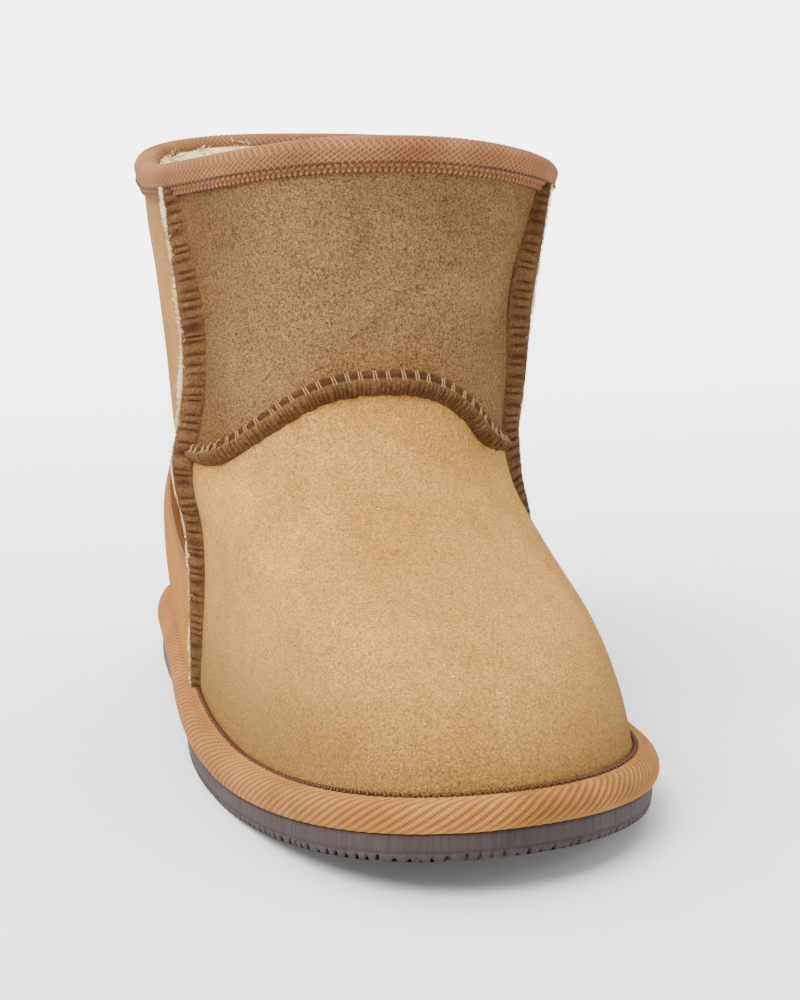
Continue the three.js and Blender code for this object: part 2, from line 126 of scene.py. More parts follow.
floor_mesh = bpy.data.meshes.new("floor")
floor_mesh.from_pydata([(-60, -60, 0), (60, -60, 0), (60, 60, 0), (-60, 60, 0)], [], [(0, 1, 2, 3)])
floor = bpy.data.objects.new("floor", floor_mesh)
bpy.context.collection.objects.link(floor)
floor_material = bpy.data.materials.new("floor")
floor_material.use_nodes = True
tree = floor_material.node_tree
shader = tree.nodes["Principled BSDF"]
shader.inputs["Roughness"].default_value = 0.7
shader.inputs["Emission Strength"].default_value = 1.6
floor_place = add_node(tree, "ShaderNodeTexCoord").outputs["Object"]
far_off = add_node(tree, "ShaderNodeMapRange", {
    "Value": add_node(tree, "ShaderNodeSeparateXYZ", {0: floor_place}).outputs["Y"],
    "From Min": -0.3, "From Max": 1.3,
}, interpolation_type="SMOOTHSTEP").outputs["Result"]
# Painted shade near the boot and a painted glow far off: the far paper is white and emits light, though it
# is no lamp
near_paper_painted_shade, far_paper_painted_glow = (0.66, 0.655, 0.66, 1), (1, 1, 1, 1)
tree.links.new(blend(tree, far_off, near_paper_painted_shade, far_paper_painted_glow), shader.inputs["Base Color"])
tree.links.new(blend(tree, far_off, (0, 0, 0, 1), far_paper_painted_glow), shader.inputs["Emission Color"])
floor_mesh.materials.append(floor_material)


# The last: the boot's form, on which every soft piece is cut. Each row is a level section, from the
# feather line (level 0) to the collar (level 10), given in shares of length, ball width and height.
sole_length, ball_width, boot_height = 285, 117, 172
box_middle = 3.93
leg_axis = 0.133 * sole_length
# front, back, wide, medial, lateral, z front, z side, z back, full medial, lateral, back, heel, toe in, turn
shares = np.array([
    [-0.477, 0.477, -0.142, 0.432, 0.474, 0.087, 0.079, 0.099, 2.1, 2.2, 3.0, 0.73, -0.128, 0],
    [-0.482, 0.477, -0.142, 0.436, 0.466, 0.128, 0.108, 0.137, 2.1, 2.2, 2.9, 0.77, -0.128, 0],
    [-0.465, 0.475, -0.137, 0.427, 0.434, 0.200, 0.200, 0.230, 2.1, 2.2, 2.9, 0.84, -0.111, 0],
    [-0.423, 0.470, -0.111, 0.412, 0.404, 0.276, 0.294, 0.331, 2.1, 2.2, 2.9, 0.90, -0.090, -1],
    [-0.357, 0.461, -0.065, 0.390, 0.388, 0.347, 0.380, 0.419, 2.1, 2.1, 2.9, 0.95, -0.062, -5],
    [-0.273, 0.451, 0.008, 0.382, 0.386, 0.416, 0.455, 0.508, 2.1, 2.1, 2.85, 0.98, -0.034, -10],
    [-0.192, 0.442, 0.077, 0.397, 0.400, 0.503, 0.530, 0.593, 2.1, 2.1, 2.8, 1, -0.006, -12],
    [-0.140, 0.433, 0.130, 0.408, 0.440, 0.613, 0.622, 0.686, 2.2, 2.2, 2.75, 1, 0, -11],
    [-0.112, 0.426, 0.154, 0.422, 0.474, 0.744, 0.727, 0.767, 2.2, 2.2, 2.7, 1, 0.008, -9.5],
    [-0.103, 0.423, 0.158, 0.442, 0.505, 0.870, 0.823, 0.850, 2.2, 2.2, 2.65, 1, 0.020, -8.7],
    [-0.105, 0.421, 0.154, 0.456, 0.522, 1.000, 0.919, 0.930, 2.2, 2.2, 2.6, 1, 0.038, -8],
])
sole_shares = np.array([-0.5, 0.5, -0.142, 0.480, 0.520, 0, 0, 0, 2.08, 2.13, 3.2, 0.75, -0.130, 0])
to_mm = np.array([sole_length] * 3 + [ball_width] * 2 + [boot_height] * 3 + [1] * 4 + [ball_width, 1])
sections = shares * to_mm
collar = len(sections) - 1


def ease(t):
    """3t² - 2t³ between 0 and 1."""
    t = np.clip(t, 0, 1)
    return t * t * (3 - 2 * t)


def through(rows, place):
    """Catmull-Rom curve through rows of values, carried straight on at both ends."""
    last = len(rows) - 1
    padded = np.concatenate([[2 * rows[0] - rows[1]], rows, [2 * rows[-1] - rows[-2]]])
    place = np.clip(place, 0, last)
    i = np.clip(np.floor(place).astype(int), 0, last - 1)
    t = (place - i)[..., None]
    a, b, c, d = (padded[i + k] for k in range(4))
    return 0.5 * (2 * b + (c - a) * t + (2 * a - 5 * b + 4 * c - d) * t**2 + (3 * b - a - 3 * c + d) * t**3)


def section_point(section, angle):
    """x = ±half·|sin|^(2/n)·taper, y = wide + (end - wide)·|cos|^(2/n), turned about the leg's axis."""
    (front, back, wide, medial, lateral, z_front, z_side, z_back,
     full_medial, full_lateral, full_back, heel, toe_in, turn) = np.moveaxis(section, -1, 0)
    side, along = np.sin(angle), np.cos(angle)
    fullness = np.where(along >= 0, np.where(side < 0, full_medial, full_lateral), full_back)
    across = np.abs(side) ** (2 / fullness)
    reach = np.abs(along) ** (2 / fullness)
    taper = 1 - (1 - heel) * ease(np.where(along < 0, reach, 0) / 0.75)
    x = np.sign(side) * np.where(side > 0, lateral, medial) * across * taper
    x = x + toe_in * np.where(along > 0, reach, 0) ** 2
    y = wide + (np.where(along >= 0, front, back) - wide) * reach - leg_axis
    z = z_side + (np.where(along >= 0, z_front, z_back) - z_side) * np.abs(along) ** 1.6
    turn = np.radians(turn)
    return np.stack([
        x * np.cos(turn) - y * np.sin(turn) - box_middle,
        x * np.sin(turn) + y * np.cos(turn) + leg_axis,
        z + 0 * x,
    ], -1)


def toe_spring(y):
    return 10.5 * np.clip((-50 - y) / (sole_length / 2 - 50), 0, 1) ** 1.4


def sole_top(y):
    return toe_spring(y) + 7 + 4.5 * ease((y + 55) / 130)


def upper_point(level, angle):
    """Outer face of the upper; below level 1 it comes down to the sole's top."""
    level, angle = np.broadcast_arrays(level, angle)
    point = section_point(through(sections, level), angle)
    foot = section_point(sections[0] + 0 * angle[..., None], angle)
    down = (sole_top(foot[..., 1]) + 0.35 - foot[..., 2]) * np.clip(1 - level, 0, 1) ** 2
    point[..., 2] += down
    return point


def upper_normal(level, angle):
    """Outward normal from central differences."""
    low = np.clip(level - 0.01, 0, collar - 0.02)
    up = upper_point(low + 0.02, angle) - upper_point(low, angle)
    across = upper_point(level, angle + 0.004) - upper_point(level, angle - 0.004)
    normal = np.cross(across, up)
    return normal / np.linalg.norm(normal, axis=-1, keepdims=True)


# Outsole: matt grey-brown foam rubber, trimmed flush by a rotary cutter that leaves fine upright lines.
# Its tread ends in small notches along the lower edge.
def quad_piece(name, points, quads):
    """A smooth piece on the root body, from points in mm and the four corners of each face."""
    mesh = bpy.data.meshes.new(name)
    mesh.vertices.add(points.size // 3)
    mesh.vertices.foreach_set("co", (points * MM).astype(np.float32).ravel())
    mesh.loops.add(quads.size)
    mesh.loops.foreach_set("vertex_index", quads.astype(np.int32).ravel())
    mesh.polygons.add(len(quads))
    mesh.polygons.foreach_set("loop_start", np.arange(0, quads.size, 4, dtype=np.int32))
    mesh.update(calc_edges=True)
    mesh.polygons.foreach_set("use_smooth", np.ones(len(quads), dtype=bool))
    piece = bpy.data.objects.new(name, mesh)
    bpy.context.collection.objects.link(piece)
    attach(piece, "root")
    return piece


def add_mask(piece, name, values):
    """A value at each vertex, which the piece's material reads by its name."""
    layer = piece.data.attributes.new(name, "FLOAT", "POINT")
    layer.data.foreach_set("value", values.astype(np.float32).ravel())


def grid_piece(name, points, loops=(False, False), uv=None, masks=None, flip=False):
    """Quads between neighbours of points[i, j] in mm; loops says which way the grid closes on itself."""
    rows, columns = points.shape[:2]
    i = np.arange(rows if loops[0] else rows - 1)[:, None]
    j = np.arange(columns if loops[1] else columns - 1)[None, :]
    here, right = i * columns + j, i * columns + (j + 1) % columns
    above, over = (i + 1) % rows * columns + j, (i + 1) % rows * columns + (j + 1) % columns
    corners = [here, right, over, above]
    if flip:
        corners.reverse()
    quads = np.stack([np.broadcast_to(c, here.shape) for c in corners], -1).reshape(-1, 4)
    piece = quad_piece(name, points, quads)
    if uv is not None:
        layer = piece.data.uv_layers.new(name="UVMap")
        u, v = uv
        ui = [j, j + 1, j + 1, j]
        vi = [i, i, i + 1, i + 1]
        if flip:
            ui.reverse()
            vi.reverse()
        cu = np.stack([np.broadcast_to(u[k], here.shape) for k in ui], -1)
        cv = np.stack([np.broadcast_to(v[k], here.shape) for k in vi], -1)
        layer.data.foreach_set("uv", np.stack([cu, cv], -1).astype(np.float32).ravel())
    for key, values in (masks or {}).items():
        add_mask(piece, key, np.broadcast_to(values, (rows, columns)))
    return piece


def linear(red, green, blue):
    """A colour as the eye reads it, 0 to 255, turned into the shader's own scale."""
    value = np.array([red, green, blue]) / 255
    value = np.where(value <= 0.04045, value / 12.92, ((value + 0.055) / 1.055) ** 2.4)
    return (*value, 1)


def maths(tree, operation, first, second=0.0, third=0.0):
    return add_node(tree, "ShaderNodeMath", {0: first, 1: second, 2: third}, operation=operation).outputs[0]


def object_space(tree):
    return add_node(tree, "ShaderNodeTexCoord").outputs["Object"]


def noise(tree, space, scale, detail, roughness=0.5, distortion=0.0):
    return add_node(tree, "ShaderNodeTexNoise", {
        "Vector": space, "Scale": scale, "Detail": detail, "Roughness": roughness, "Distortion": distortion,
    }).outputs["Fac"]


def bump(tree, height, distance, strength):
    values = {"Height": height, "Distance": distance, "Strength": strength}
    return add_node(tree, "ShaderNodeBump", values).outputs["Normal"]


def contrast(tree, value, low, high):
    """Stretches a noise value so that low becomes 0 and high becomes 1."""
    node = add_node(tree, "ShaderNodeMapRange", {"Value": value, "From Min": low, "From Max": high})
    return node.outputs["Result"]


def new_material(name, roughness, sheen=0.0, sheen_tint=(1, 1, 1, 1), specular=0.3):
    material = bpy.data.materials.new(name)
    material.use_nodes = True
    shader = material.node_tree.nodes["Principled BSDF"]
    shader.inputs["Roughness"].default_value = roughness
    shader.inputs["Specular IOR Level"].default_value = specular
    shader.inputs["Sheen Weight"].default_value = sheen
    shader.inputs["Sheen Roughness"].default_value = 0.5
    shader.inputs["Sheen Tint"].default_value = sheen_tint
    return material, material.node_tree, shader


def dress(piece, material):
    piece.data.materials.append(material)


def sole_section(distance):
    """The outsole's section let out by a distance."""
    section = sole_shares * to_mm
    half = (section[3] + section[4]) / 2
    section[0] -= distance
    section[1] += distance
    section[3] += distance
    section[4] += distance
    section[11] = (half * section[11] + distance) / (half + distance)
    return section


def sole_edge(angle, distance, waist_curve):
    section = sole_section(distance)
    point = section_point(np.broadcast_to(section, np.shape(angle) + (14,)), angle)
    back_share = np.clip((point[..., 1] - section[2]) / (section[1] - section[2]), 0, 1)
    hollow = waist_curve * np.exp(-(((back_share - 0.42) / 0.2) ** 2)) * np.sin(angle) ** 2
    point[..., 0] += np.where(np.sin(angle) < 0, hollow, -0.35 * hollow)
    return point


def run_along(points):
    """Distance from the first point to each, along their line."""
    return np.concatenate([[0], np.cumsum(np.linalg.norm(np.diff(points, axis=0), axis=1))])


def even_sole_angles(count):
    fine = np.linspace(-math.pi, math.pi, 24001)
    points = sole_edge(fine, 0.0, 2.5)[:, :2]
    length = run_along(points)
    return np.interp(np.arange(count) * length[-1] / count, length, fine), length[-1]


def sole_bottom(y):
    arch = 2 * np.sin(math.pi * np.clip((y + 12) / 64, 0, 1)) ** 2
    return toe_spring(y) + arch + 1.5 * np.clip((y - 128) / 14.5, 0, 1) ** 2


wall_columns = 1520
wall_angles = even_sole_angles(wall_columns)[0]
notch_count = 190
notch_phase = np.arange(wall_columns) * notch_count / wall_columns
once_round = 2 * math.pi * notch_phase / notch_count
notch_drift = 0.28 * np.sin(once_round * 7) * np.sin(once_round * 41)
notch = np.clip(np.cos(2 * math.pi * (notch_phase + notch_drift)) * 2 - 0.9, 0, 1)
notch_size = np.random.default_rng(5).uniform(0.25, 1, notch_count)
notch *= notch_size[np.round(notch_phase + notch_drift).astype(int) % notch_count]
notch_depth, notch_height = 1.3, 2.2
sole_middle = np.array([-2, 0])
# how far out, share of the sole's height, and lift in mm, from the tread up to the tape
wall_profile = [(-2.5, 0, 0.0), (-1.1, 0, 0.1), (-0.55, 0, 0.45), (-0.25, 0, 1.1), (-0.1, 0, 1.9),
                (-0.35, 0, 2.15), (-0.35, 0, 2.45), (0, 0, 2.75), (0.1, 0.15, 2.6), (0.05, 0.45, 1.6),
                (0, 0.75, 0.6), (0, 1, 0), (-1.5, 1, 0.05)]
wall_rows = []
for distance, share, lift in wall_profile:
    row = sole_edge(wall_angles, distance, 2.5)
    low, high = sole_bottom(row[:, 1]), sole_top(row[:, 1])
    row[:, 2] = low + (high - low) * share + lift
    cut = notch * notch_depth * np.clip(1 - (row[:, 2] - low) / notch_height, 0, 1)
    row[:, 2] += cut
    outward = row[:, :2] - sole_middle
    row[:, :2] -= outward / np.linalg.norm(outward, axis=1, keepdims=True) * (cut * 0.8)[:, None]
    wall_rows.append(row)
outsole_wall = grid_piece("outsole_wall", np.array(wall_rows), (False, True))

tread_along = np.linspace(-142, 142, 760)
tread_share = np.linspace(-1, 1, 20)


def sole_half_widths(y, distance):
    """Half widths of the outsole at y, on both sides, read off its outline."""
    angles = np.linspace(0, math.pi, 4001)
    outer = sole_edge(angles, distance, 2.5)
    inner = sole_edge(-angles, distance, 2.5)
    return np.interp(y, inner[:, 1], inner[:, 0]), np.interp(y, outer[:, 1], outer[:, 0])


tread_inner, tread_outer = sole_half_widths(tread_along, -1.1)
tread_x = tread_inner + (tread_outer - tread_inner) * (tread_share[:, None] + 1) / 2
tread_y = np.broadcast_to(tread_along, tread_x.shape)
groove_pitch, first_groove = 11, -130.5
from_first = tread_y - first_groove
groove_place = (from_first + groove_pitch / 2) % groove_pitch - groove_pitch / 2
groove = 2.0 * np.clip((1.5 - np.abs(groove_place)) / 0.3, 0, 1)
rib = 0.7 * np.clip(np.cos(2 * math.pi * from_first / groove_pitch * 3) * 2 - 0.9, 0, 1)
edge_fade = np.clip((1 - np.abs(tread_share[:, None])) * 12, 0, 1)
tread_z = sole_bottom(tread_y) + np.maximum(groove, rib) * edge_fade + 0.05
tread = grid_piece("outsole_tread", np.stack([tread_x, tread_y, tread_z], -1))

rubber, tree, shader = new_material("sole_rubber", 0.82, specular=0.35)
space = object_space(tree)
stretched = add_node(tree, "ShaderNodeMapping", {"Vector": space, "Scale": (1, 1, 0.05)}).outputs[0]
lines = noise(tree, stretched, 900, 3, 0.6)
specks = noise(tree, space, 1400, 2)
stains = noise(tree, space, 45, 4)
tone = maths(tree, "ADD", maths(tree, "MULTIPLY", contrast(tree, lines, 0.3, 0.7), 0.5),
             maths(tree, "MULTIPLY", contrast(tree, stains, 0.3, 0.7), 0.5))
tree.links.new(blend(tree, tone, linear(34, 26, 25), linear(60, 49, 47)), shader.inputs["Base Color"])
roughness = maths(tree, "ADD", lines, maths(tree, "MULTIPLY", specks, 0.4))
tree.links.new(bump(tree, roughness, 0.0004, 0.6), shader.inputs["Normal"])
dress(outsole_wall, rubber)
dress(tread, rubber)
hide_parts("outsole")


# Upper: sheepskin, suede side out. Vamp and shaft panels are one smooth skin here, with the soft
# dents that the empty boot shows, and darker hide on the front of the shaft.
def even_angles(count, level, start=-math.pi, end=math.pi):
    """Angles that divide a level's curve into equal lengths."""
    # The sections bend fast just behind both sides, which takes many small steps
    fine = np.linspace(start, end, 24001)
    length = run_along(upper_point(level + 0 * fine, fine))
    return np.interp(np.linspace(0, length[-1], count), length, fine)


def halving(low, high, falls_short, rounds=34):
    """Closes in on a value between low and high; falls_short says where a guess is too low."""
    for _ in range(rounds):
        middle = (low + high) / 2
        short = falls_short(middle)
        low, high = np.where(short, middle, low), np.where(short, high, middle)
    return (low + high) / 2


# height in steps of 40 mm from 10 mm up: how far back each side seam runs, inner and outer side
seam_rows = np.array([[6, 2], [-1, -4], [-4, -10], [11, -10], [24, -6]], float)


def seam_angle(level, side, behind=0.0):
    """Angle at which a level crosses a side seam, or a line some millimetres behind it."""
    level = np.asarray(level, float)

    def before_seam(angle):
        point = upper_point(level, side * angle)
        seam = through(seam_rows, (point[..., 2] - 10) / 40)[..., 0 if side < 0 else 1] + behind
        return point[..., 1] < seam

    return side * halving(0 * level + math.radians(40), 0 * level + math.radians(150), before_seam)


def instep_level(angle):
    """5.7 + 1.47·exp(-|a/45°|^2.4): a flat-topped bow over the front of the ankle."""
    return 5.7 + 1.47 * np.exp(-(np.abs((angle - math.radians(6)) / math.radians(45)) ** 2.4))


def attribute(tree, name):
    return add_node(tree, "ShaderNodeAttribute", attribute_name=name).outputs["Fac"]


nap = bpy.data.node_groups.new("nap", "ShaderNodeTree")
for output in ("Grain", "Mottle", "Cloud"):
    nap.interface.new_socket(name=output, in_out="OUTPUT", socket_type="NodeSocketFloat")
nap.interface.new_socket(name="Normal", in_out="OUTPUT", socket_type="NodeSocketVector")
nap_space = object_space(nap)
nap_grain = noise(nap, nap_space, 1850, 2, 0.6, 0.9)
nap_mottle = noise(nap, nap_space, 190, 4, 0.6, 0.8)
nap_cloud = noise(nap, nap_space, 26, 4, 0.55, 0.5)
nap_height = maths(nap, "ADD", nap_grain, maths(nap, "MULTIPLY", nap_mottle, 0.9))
nap_normal = bump(nap, nap_height, 0.0011, 0.9)
add_node(nap, "NodeGroupOutput", {
    "Grain": nap_grain, "Mottle": nap_mottle, "Cloud": nap_cloud, "Normal": nap_normal,
})


def suede(name, dark, light, grain_share=0.5):
    """Napped hide: clouds between two tones, a mottle from stroked nap and a fine grain."""
    material, tree, shader = new_material(name, 0.95, 0.05, linear(225, 180, 115), 0.08)
    group = add_node(tree, "ShaderNodeGroup", node_tree=nap)
    cloud = contrast(tree, group.outputs["Cloud"], 0.35, 0.65)
    mottle = contrast(tree, group.outputs["Mottle"], 0.3, 0.7)
    grain = contrast(tree, group.outputs["Grain"], 0.36, 0.64)
    tone = maths(tree, "ADD", maths(tree, "MULTIPLY", cloud, 0.55), maths(tree, "MULTIPLY", mottle, 0.45))
    color = blend(tree, tone, linear(*dark), linear(*light))
    shade = maths(tree, "MULTIPLY_ADD", grain, grain_share, 1 - grain_share / 2)
    return material, tree, shader, group, color, shade


def tinted(tree, color, tints):
    """Brings in another tone where a mask says so; each tint is a mask, its share and the tone."""
    for mask, share, tone in tints:
        color = blend(tree, maths(tree, "MULTIPLY", attribute(tree, mask), share), color, tone)
    return color


def darkened(tree, color, shade):
    grey = add_node(tree, "ShaderNodeCombineColor", {0: shade, 1: shade, 2: shade}).outputs[0]
    return blend(tree, 1.0, color, grey, "MULTIPLY")


def finish_suede(tree, shader, group, color, shade):
    tree.links.new(darkened(tree, color, shade), shader.inputs["Base Color"])
    tree.links.new(group.outputs["Normal"], shader.inputs["Normal"])


skin_columns, skin_rows = 330, 150
skin_angle = even_angles(skin_columns + 1, 4.0)[None, :-1]
skin_level = np.linspace(0, collar, skin_rows)[:, None]
skin_level, skin_angle = np.broadcast_arrays(skin_level, skin_angle)
skin = upper_point(skin_level, skin_angle)

# from level and angle, to level and angle, half width in mm, depth in mm (negative is a trough)
creases = np.array([
    [9.6, 22, 7.9, 40, 7, -0.9],
    [9.3, 45, 7.0, 50, 6, -1.0],
    [8.6, 30, 7.4, 33, 9, 0.6],
    [7.0, 44, 5.7, 52, 6, -1.0],
    [6.4, 20, 6.0, 40, 5, -0.6],
    [6.2, -46, 4.6, -58, 6, -0.9],
    [5.5, -30, 4.6, -52, 9, 0.7],
    [4.4, -62, 2.6, -60, 6, -0.7],
    [9.2, -40, 7.6, -52, 8, -0.5],
    [7.2, 125, 6.2, 160, 8, -0.9],
    [6.4, -120, 5.6, -150, 8, -0.8],
    [8.6, -130, 7.4, -100, 12, 0.6],
])


def relief(level, angle, point):
    """Sum of depth·exp(-(d/width)²), d being the distance to each crease's line, and a slow unevenness."""
    out = 0 * level
    for level_a, angle_a, level_b, angle_b, width, depth in creases:
        share = np.linspace(0, 1, 14)
        line_angle = np.radians(angle_a + (angle_b - angle_a) * share)
        line = upper_point(level_a + (level_b - level_a) * share, line_angle)
        near = np.full(level.shape, 1e9)
        for place, weight in zip(line, np.sin(math.pi * np.linspace(0.06, 0.94, 14)) ** 0.5):
            near = np.minimum(near, np.sum((point - place) ** 2, -1) + (1 - weight) * width**2)
        out = out + depth * np.exp(-near / width**2)
    x, y, z = np.moveaxis(point, -1, 0)
    uneven = (np.sin(x / 11 + 1.3) * np.sin(z / 14 + y / 23)
              + 0.6 * np.sin(y / 9 + x / 17) * np.sin(z / 8.5 + 0.7))
    return out + 0.22 * uneven * ease((z - 28) / 20)


skin_out = relief(skin_level, skin_angle, skin)
skin_out = skin_out * ease((skin_level - 1.2) / 1.5) * ease((9.9 - skin_level) / 0.8)
skin = skin + upper_normal(skin_level, skin_angle) * skin_out[..., None]
levels = skin_level[:, :1]
inner_seam = seam_angle(levels, -1)
outer_seam = seam_angle(levels, 1)
between = (skin_angle > inner_seam) & (skin_angle < outer_seam)
above_instep = skin_level - instep_level(skin_angle)
shaft_mask = ease(above_instep / 0.25 + 0.5) * between
# Each seam's mask counts the millimetres to it; 60 more keep it off the other parts of the boot
from_inner = np.abs(skin[..., 1] - upper_point(levels, inner_seam)[..., 1]) + 60 * (skin_angle > 0)
from_outer = np.abs(skin[..., 1] - upper_point(levels, outer_seam)[..., 1]) + 60 * (skin_angle < 0)
from_instep = np.where(above_instep > 0, 0, 12) + np.abs(above_instep) * 16 + 60 * ~between
from_seam = np.minimum(np.minimum(from_inner, from_outer), from_instep)
inner_side = ease((-skin_angle - 0.35) / 0.7)
# Painted shade: the shaft's outer side is darkened as if turned away from the light. The inner side's darker
# tone is the hide's own; both go into one mask
outer_painted_shade = 0.9 * ease((skin_angle - 0.7) / 0.6)
upper = grid_piece("upper_skin", skin, (False, True), masks={
    "shaft": shaft_mask,
    "rear": 1.0 * ~between,
    "inner": shaft_mask * np.maximum(inner_side, outer_painted_shade),
    # Painted shade beside the seams, with some dirt: the skin is darker within about 8 mm of each seam
    "seam": np.exp(-((from_seam / 8.0) ** 2)),
    # Painted shade low on the boot: darker below about 58 mm, where the upper turns down towards the sole
    "low": ease((58 - skin[..., 2]) / 40),
})
material, tree, shader, group, color, shade = suede("suede", (158, 113, 51), (184, 138, 70), 0.85)
cloud = group.outputs["Cloud"]
shaft_tone = blend(tree, contrast(tree, cloud, 0.33, 0.67), linear(77, 58, 38), linear(110, 86, 58))
# The rear panels are paler and greyer, and the shaft's nap is the coarsest
rear_tone = blend(tree, contrast(tree, cloud, 0.3, 0.7), linear(136, 96, 48), linear(156, 116, 66))
# Among these tints the outer part of "inner" is painted shade, "seam" is painted shade with some dirt, and
# "low" is painted shade
color = tinted(tree, color, [
    ("shaft", 0.85, shaft_tone), ("inner", 0.6, linear(78, 52, 28)), ("seam", 0.35, linear(108, 70, 34)),
    ("low", 0.8, linear(112, 84, 42)), ("rear", 0.8, rear_tone),
])
coarse_grain = contrast(tree, group.outputs["Grain"], 0.36, 0.64)
shade = maths(tree, "MULTIPLY_ADD", maths(tree, "SUBTRACT", coarse_grain, 0.5),
              maths(tree, "MULTIPLY", attribute(tree, "shaft"), 0.3), shade)
finish_suede(tree, shader, group, color, shade)
dress(upper, material)


# Fleece: the hide's own wool, cream and dense, about 9 mm deep at the collar. A lumpy felted base
# carries curved locks that lean and clump.
def many_quads(name, points, faces):
    """One piece of many small copies: points (n, k, 3) in mm, and the four corners of one copy's faces."""
    count, size = points.shape[:2]
    quads = (np.arange(count)[:, None, None] * size + np.array(faces)).reshape(-1, 4)
    return quad_piece(name, points, quads)


fleece_depth = 6.0
fleece_columns, fleece_rows = 230, 110
fleece_angle = even_angles(fleece_columns + 1, 4.0)[None, :-1]
fleece_level = np.linspace(0.15, 9.93, fleece_rows)[:, None]
fleece_level, fleece_angle = np.broadcast_arrays(fleece_level, fleece_angle)


def fleece_point(level, angle):
    """Inner face at 3 mm of hide plus the wool, which is lumpy: a + b·sin·sin over about 9 mm."""
    base = upper_point(level, angle)
    x, y, z = np.moveaxis(base, -1, 0)
    lumps = (np.sin(y / 4.1 + 1.7 * np.sin(z / 7)) * np.sin(z / 4.7 + 1.3 * np.sin(x / 6 + y / 8))
             + 0.6 * np.sin(x / 3.3 + z / 5.1) * np.sin(y / 3.7 - z / 6.3))
    thin = ease((collar - level) / 0.35)
    depth = 3.2 + (fleece_depth + 1.1 * lumps) * (0.25 + 0.75 * thin)
    point = base - upper_normal(level, angle) * depth[..., None]
    floor_z = sole_top(point[..., 1]) + 3.6
    point[..., 2] = np.maximum(point[..., 2], floor_z)
    return point


fleece = grid_piece("fleece_base", fleece_point(fleece_level, fleece_angle), (False, True), flip=True)


def locks(name, roots, normals, seed, length, width, droop):
    """Curved locks of wool: each is a bent ribbon of three steps, wider at its foot."""
    rng = np.random.default_rng(seed)
    count = len(roots)
    clump = np.stack([np.sin(roots[:, 1] / 3.1 + 2 * np.sin(roots[:, 2] / 4.3)),
                      np.sin(roots[:, 2] / 3.7 + 2 * np.sin(roots[:, 0] / 3.9)),
                      np.cos(roots[:, 0] / 3.3 + roots[:, 1] / 4.1)], -1)
    lean = 0.55 * clump + 0.45 * rng.normal(size=(count, 3)) + np.array([0, 0, -droop])
    lean -= normals * np.sum(lean * normals, -1, keepdims=True)
    aside = np.cross(normals, rng.normal(size=(count, 3)))
    aside /= np.linalg.norm(aside, axis=1, keepdims=True)
    reach = length * rng.uniform(0.6, 1.2, (count, 1))
    rings = []
    for t, wide in ((0, 1.0), (0.45, 0.85), (0.8, 0.5), (1, 0.08)):
        middle = roots + normals * reach * (t - 0.3 * t * t) + lean * reach * 0.7 * t * t
        rings += [middle - aside * width * wide / 2, middle + aside * width * wide / 2]
    points = np.stack(rings, 1)
    return many_quads(name, points, [(0, 1, 3, 2), (2, 3, 5, 4), (4, 5, 7, 6)])


rng = np.random.default_rng(7)
lock_count = 18000
lock_level = rng.uniform(7.3, 9.98, lock_count)
lock_angle = np.interp(rng.uniform(0, 1, lock_count), np.linspace(0, 1, 4001), even_angles(4001, 9.0))
lock_roots = fleece_point(lock_level, lock_angle)
lock_normals = -upper_normal(lock_level, lock_angle)
top_locks = locks("fleece_locks_shaft", lock_roots - lock_normals * 1.2, lock_normals, 11, 3.4, 0.9, 0.35)
deep_count = 10500
deep_level = rng.uniform(0.9, 7.4, deep_count)
deep_angle = np.interp(rng.uniform(0, 1, deep_count), np.linspace(0, 1, 4001), even_angles(4001, 4.0))
deep_roots = fleece_point(deep_level, deep_angle)
deep_normals = -upper_normal(deep_level, deep_angle)
deep_locks = locks("fleece_locks_foot", deep_roots - deep_normals * 1.2, deep_normals, 12, 4.4, 1.15, 0.2)

wool, tree, shader = new_material("fleece", 0.95, 0.35, linear(255, 246, 222), 0.2)
space = object_space(tree)
patches = contrast(tree, noise(tree, space, 60, 4), 0.35, 0.7)
wool_tone = blend(tree, patches, linear(242, 226, 184), linear(216, 192, 140))
tree.links.new(wool_tone, shader.inputs["Base Color"])
fibres = noise(tree, space, 1300, 3, 0.5, 1.5)
tree.links.new(bump(tree, fibres, 0.0012, 0.7), shader.inputs["Normal"])
for piece in (fleece, top_locks, deep_locks):
    dress(piece, wool)
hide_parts("upper")
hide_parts("upper")


# Footbed: a board with a sheepskin sock on it, fleece side up.
bed_along = np.linspace(-126, 126, 200)
bed_share = np.linspace(-1, 1, 64)


def bed_height(x, y):
    """Top of the sock: board plus pile, with soft tufts."""
    tufts = np.sin(x / 2.9 + np.sin(y / 5)) * np.sin(y / 3.3 + np.sin(x / 6)) + 0.5 * np.sin(x / 7 + y / 6)
    return sole_top(y) + 8.0 + 0.8 * tufts


board = sections[0].copy()
board[[0, 3, 4]] += np.array([5, -5, -5])
board[1] -= 5
board_angles = np.linspace(0, math.pi, 3001)
board_sections = np.broadcast_to(board, (3001, 14))
board_outer = section_point(board_sections, board_angles)
board_inner = section_point(board_sections, -board_angles)
bed_inner = np.interp(bed_along, board_inner[:, 1], board_inner[:, 0])
bed_outer = np.interp(bed_along, board_outer[:, 1], board_outer[:, 0])
bed_x = bed_inner + (bed_outer - bed_inner) * (bed_share[:, None] + 1) / 2
bed_y = np.broadcast_to(bed_along, bed_x.shape)
bed = grid_piece("footbed", np.stack([bed_x, bed_y, bed_height(bed_x, bed_y)], -1), flip=True)
tuft_count = 10500
tuft_y = rng.uniform(-110, 124, tuft_count)
tuft_share = rng.uniform(0.03, 0.97, tuft_count)
tuft_x = np.interp(tuft_y, bed_along, bed_inner) * (1 - tuft_share)
tuft_x = tuft_x + np.interp(tuft_y, bed_along, bed_outer) * tuft_share
